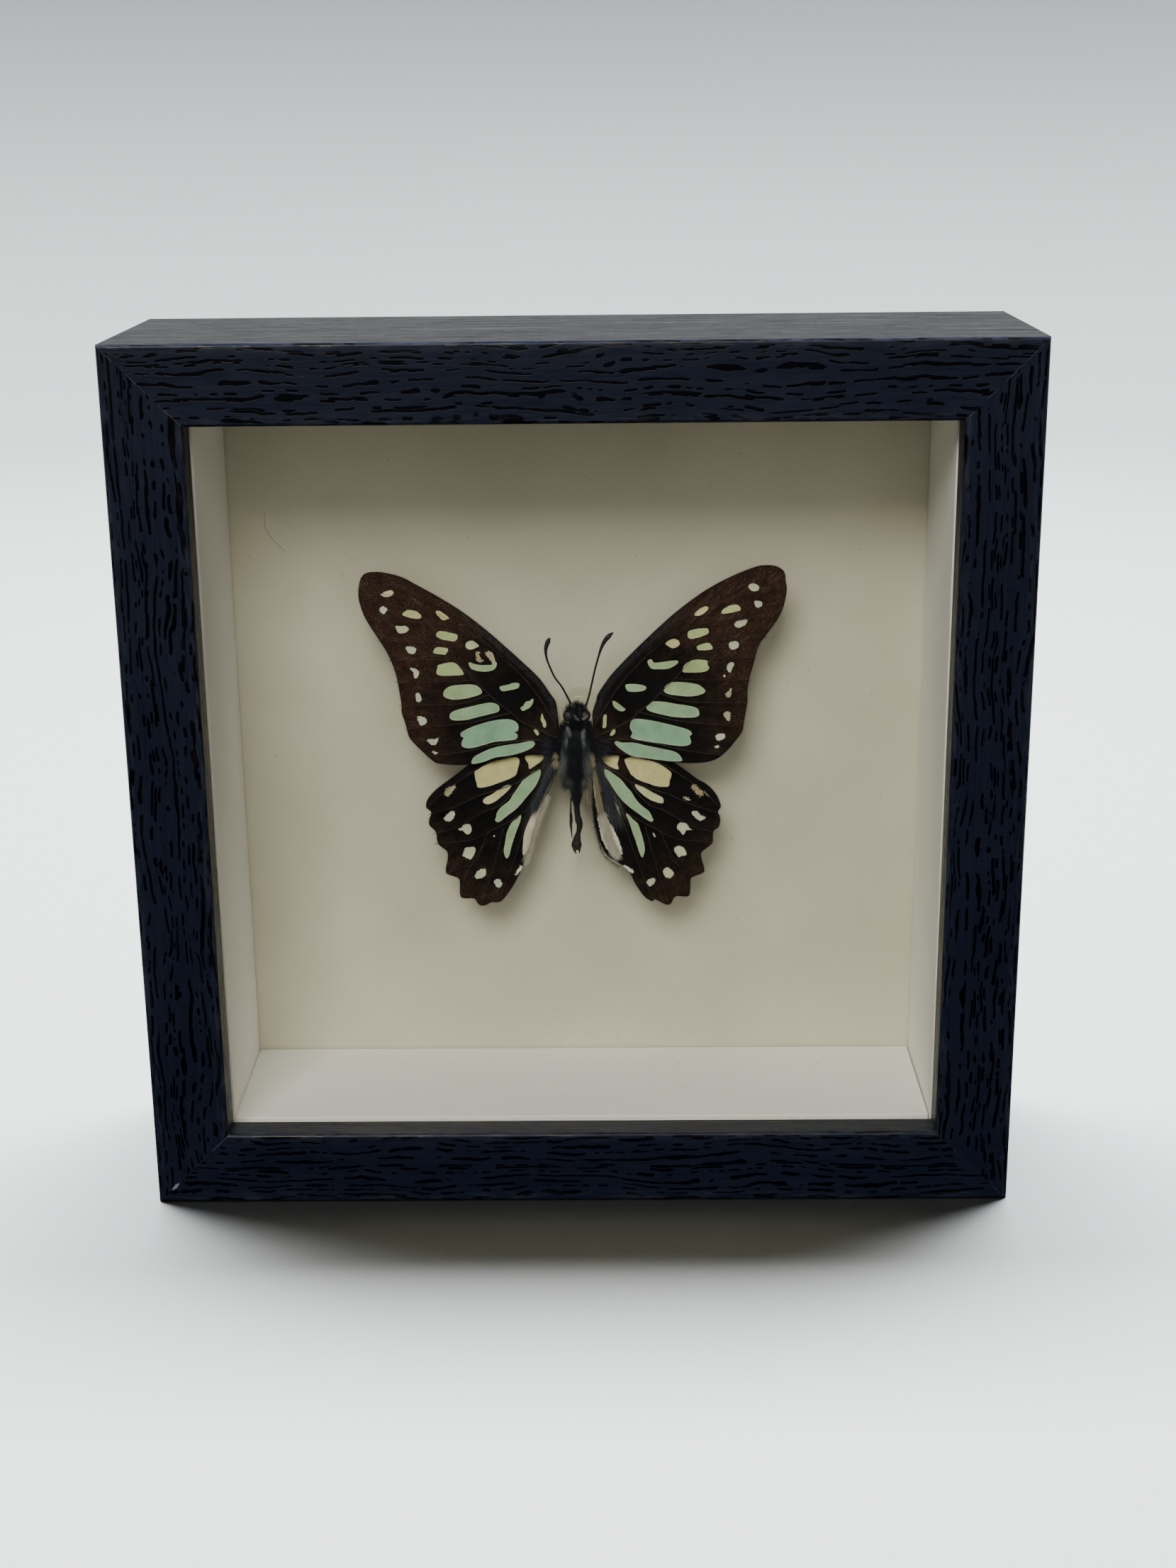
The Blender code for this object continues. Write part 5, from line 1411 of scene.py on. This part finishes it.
def build_wing_hair():
    """Hair on the wings.

    Tan tufts at the hindwing bases, a woolly fold and dark fringe on the right hindwing's inner edge,
    silky lines over the inner fields, and down at the forewing bases.
    """
    parts = [
        pile(((-4.5, -0.4, 28.2), (-4.2, -1.5, 28.2), (-4.4, -2.6, 28.4)),
             360, 0.22, (0.05, -1, -0.25), 0.9, 0.03, 0.88, 0.25),
        pile(((2.2, -0.6, 28.2), (2.2, -1.7, 28.2), (2.4, -2.7, 28.4)),
             320, 0.2, (0.1, -1, -0.25), 0.9, 0.03, 0.87, 0.25),
        pile(((2.3, -5.0, 29.2), (2.4, -12.0, 29.2), (3.7, -18.5, 29.2), (5.0, -20.8, 29.2),
              (7.2, -22.4, 29.2)),
             620, 0.05, (-0.3, -0.95, 0.0), 0.8, 0.02, 0.2, 0.18),
        pile(((3.0, -2.6, 28.7), (4.2, -6.0, 28.7), (5.4, -9.0, 28.7), (6.4, -12.5, 28.8)),
             800, 0.35, (0.3, -1, -0.06), 2.6, 0.02, 0.46, 0.08),
        pile(((2.6, -3.6, 28.8), (3.2, -8.0, 28.8), (3.8, -11.5, 28.8)),
             620, 0.22, (0.1, -1, -0.1), 2.2, 0.022, 0.84, 0.08),
        pile(((-4.7, -2.6, 28.7), (-6.2, -6.4, 28.7), (-7.9, -10.4, 28.7)),
             800, 0.34, (-0.42, -1, -0.06), 2.6, 0.02, 0.46, 0.08),
        pile(((-4.0, -1.6, 28.0), (-4.8, 0.2, 27.9), (-5.0, 2.4, 27.9)),
             260, 0.35, (-1, -0.25, -0.1), 2.4, 0.02, 0.3, 0.2),
        pile(((2.9, -1.6, 28.0), (3.5, 0.2, 27.9), (3.6, 2.4, 27.9)),
             260, 0.35, (1, -0.25, -0.1), 2.4, 0.02, 0.3, 0.2),
    ]
    make_piece("wing_hair", joined(parts), (HAIR,), flat=True)
    wool = [
        pile(((3.9, -12.2, 28.9), (4.7, -15.5, 28.9), (5.6, -18.0, 28.9), (6.5, -19.8, 28.9)),
             4800, 0.34, (0.36, -0.95, -0.12), 1.2, 0.022, 1.0, 0.2, 0.1),
        pile(((-5.8, -8.6, 29.0), (-8.0, -14.5, 29.0), (-9.1, -18.0, 29.0), (-9.9, -21.2, 29.0)),
             1800, 0.36, (-0.4, -1, -0.05), 1.1, 0.014, 0.99, 0.12, 0.06),
    ]
    make_piece("inner_margin_wool", joined(wool), (HAIR,), flat=True)


def build_margin_fringe():
    """A short fringe of dark scale-hairs round every wing's rim."""
    parts = []
    for wing in WINGS.values():
        outline = evenly(smooth_path(wing["outline"], 8, closed=True), FRINGE_HAIRS, closed=True)
        out = outline - np.array(wing["root"])
        normal = np.column_stack((np.gradient(outline[:, 1]), -np.gradient(outline[:, 0])))
        normal *= np.sign((normal * out).sum(1))[:, None]
        normal /= np.linalg.norm(normal, axis=1)[:, None] + 1e-9
        roots = np.column_stack((outline, wing_depth(wing, outline) + WING_THICKNESS / 2))
        directions = np.column_stack((normal, np.zeros(len(normal)))) + ragged(len(normal), 0.25)
        lengths = 0.12 + 0.2 * draw.random(len(normal))
        shade = 0.06 + 0.1 * draw.random(len(normal))
        parts.append(strands(roots, directions, lengths, 0.02, ragged(len(normal), 0.03), shade))
    make_piece("margin_fringe", joined(parts), (HAIR,), flat=True)


def build_lint():
    """Dust inside the case: one fine curved hair on the board, a few short fibres and some grit."""
    on_board = BOARD_DEPTH - 0.06
    on_strip = -(HALF - RAIL_FACE) + 0.06
    parts = []
    long_hair = evenly(smooth_path(((-55.5, 41.7), (-55.6, 39.2), (-54.5, 37.0), (-52.2, 34.6)), 8), 60)
    angle = np.arange(3) * 2.1
    side = 0.022 * np.column_stack((np.cos(angle), np.sin(angle)))
    rings = np.concatenate((long_hair[:, None] + side, np.full((60, 3, 1), on_board)), -1)
    rings[:, :, 2] -= np.abs(np.sin(angle)) * 0.05
    parts.append(tube(rings, shade=0.55, tip=0.5))
    count = 26
    across, depth = draw.uniform(8, 58, count), draw.uniform(12, 34, count)
    roots = np.column_stack((across, np.full(count, on_strip), depth))
    parts.append(strands(roots, ragged(count, 1.0) * (1, 0.08, 1), 0.3 + 0.5 * draw.random(count), 0.045,
                         np.zeros((count, 3)), np.full(count, 0.8)))
    count = 14
    across, up = draw.uniform(-55, 55, count), draw.uniform(-55, 40, count)
    roots = np.column_stack((across, up, np.full(count, on_board)))
    parts.append(strands(roots, ragged(count, 1.0) * (1, 1, 0.05), 0.25 + 0.3 * draw.random(count), 0.05,
                         np.zeros((count, 3)), draw.uniform(0.3, 0.7, count)))
    make_piece("case_dust", joined(parts), (HAIR,), flat=True)


# ---------------------------------------------------------------- stage, lamps and camera

def add_paper(name, first_turn, last_turn):
    """Half a bowl of seamless paper: a flat floor that turns up into a wall by a quarter circle.

    It is the line (radius, height) turned about the upright axis, from one angle to the other.
    """
    flat, turn, height = 900.0, 500.0, 1900.0
    a = np.linspace(0, math.pi / 2, 24)
    radius = np.concatenate(([1.0, 300.0], flat + turn * np.sin(a), [flat + turn]))
    rise = np.concatenate(([0.0, 0.0], turn - turn * np.cos(a), [height]))
    angle = np.linspace(first_turn, last_turn, 49)[:, None]
    points = np.stack(np.broadcast_arrays(radius * np.cos(angle), radius * np.sin(angle), rise), -1)
    mesh = bpy.data.meshes.new(name)
    faces = grid_faces(len(angle), len(radius), wrap=False)[:, ::-1]
    mesh.from_pydata((points.reshape(-1, 3) * MM).tolist(), [], faces.tolist())
    mesh.shade_smooth()
    mesh.materials.append(PAPER)
    paper = bpy.data.objects.new(name, mesh)
    bpy.context.scene.collection.objects.link(paper)
    return paper


def keep_off(lamp, name, sheets):
    """Flag a lamp off some sheets: they get none of its light, and all else does."""
    flagged = bpy.data.collections.new(name)
    for sheet in sheets:
        flagged.objects.link(sheet)
    for member in flagged.collection_objects:
        member.light_linking.link_state = "EXCLUDE"
    lamp.light_linking.receiver_collection = flagged


def build_stage():
    """Two halves of a paper bowl round the frame.

    The front half is kept out of reflections and bounces no light, as if dark flags stood over it,
    so that the glass stays clear.
    """
    sweep = add_paper("paper_sweep", 0.0, math.pi)
    sweep.visible_diffuse = False
    apron = add_paper("paper_apron", math.pi, 2 * math.pi)
    apron.visible_glossy = False
    apron.visible_transmission = False
    apron.visible_diffuse = False
    apron.visible_shadow = False
    return sweep, apron


def add_softbox(name, place_mm, size, power, tint, in_reflections=True, aim=(0, 0, 75)):
    """A soft lamp at a point in the row frame, in millimetres, that faces another point."""
    lamp = bpy.data.lights.new(name, "AREA")
    lamp.shape = "RECTANGLE"
    lamp.size, lamp.size_y = size[0] * MM, size[1] * MM
    lamp.energy = power
    lamp.color = colour(tint)[:3]
    made = bpy.data.objects.new(name, lamp)
    made.location = Vector(place_mm) * MM
    made.visible_glossy = in_reflections
    made.visible_camera = False
    made.rotation_mode = "QUATERNION"
    made.rotation_quaternion = (Vector(aim) * MM - made.location).to_track_quat("-Z", "Y")
    bpy.context.scene.collection.objects.link(made)
    return made


def build_lamps(sheets):
    """A softbox overhead and one on the wall for the paper; a key and a wide weak fill for the frame.

    The overhead lamp and the fill stay out of reflections, so that the top rail keeps its dark
    satin look. The key and the fill are flagged off the paper, so that the frame's shadow in front
    of it stays deep.
    """
    add_softbox("softbox_overhead", (-12, 285, 1150), (1000, 330), 61.0, "#f8faff", in_reflections=False)
    add_softbox("softbox_backdrop", (0, 420, 900), (900, 200), 3.0, "#fbfcff", aim=(0, 1150, 150))
    key = add_softbox("softbox_key", (-160, -710, 690), (420, 360), 6.7, "#fffbf0")
    fill = add_softbox("softbox_fill", (60, -1000, 420), (1500, 900), 4.9, "#fff9f0", in_reflections=False)
    keep_off(key, "key_flag", sheets)
    keep_off(fill, "fill_flag", sheets)
    world = bpy.data.worlds.new("pale_room")
    world.use_nodes = True
    background = world.node_tree.nodes["Background"]
    background.inputs["Color"].default_value = colour("#eef1f4")
    background.inputs["Strength"].default_value = 0.012
    bpy.context.scene.world = world


def build_camera():
    """The camera stands a little above the frame and looks down on it."""
    place_mm, turn_degrees, focal_length = (5.96, -367.35, 185.57), (72.595, 0.560, 0.511), 49.91
    lens = bpy.data.cameras.new("camera")
    lens.lens = focal_length
    lens.clip_start = 0.01
    made = bpy.data.objects.new("camera", lens)
    made.location = Vector(place_mm) * MM
    made.rotation_euler = [math.radians(angle) for angle in turn_degrees]
    bpy.context.scene.collection.objects.link(made)
    bpy.context.scene.camera = made


build_rails()
build_inside()
for wing_name, wing_facts in WINGS.items():
    build_wing(wing_name, wing_facts)
    build_veins(wing_name, wing_facts)
build_body()
build_post()
build_thorax_fur()
build_head_tufts()
build_waist_fur()
build_wing_hair()
build_margin_fringe()
build_lint()
build_lamps(build_stage())
build_camera()
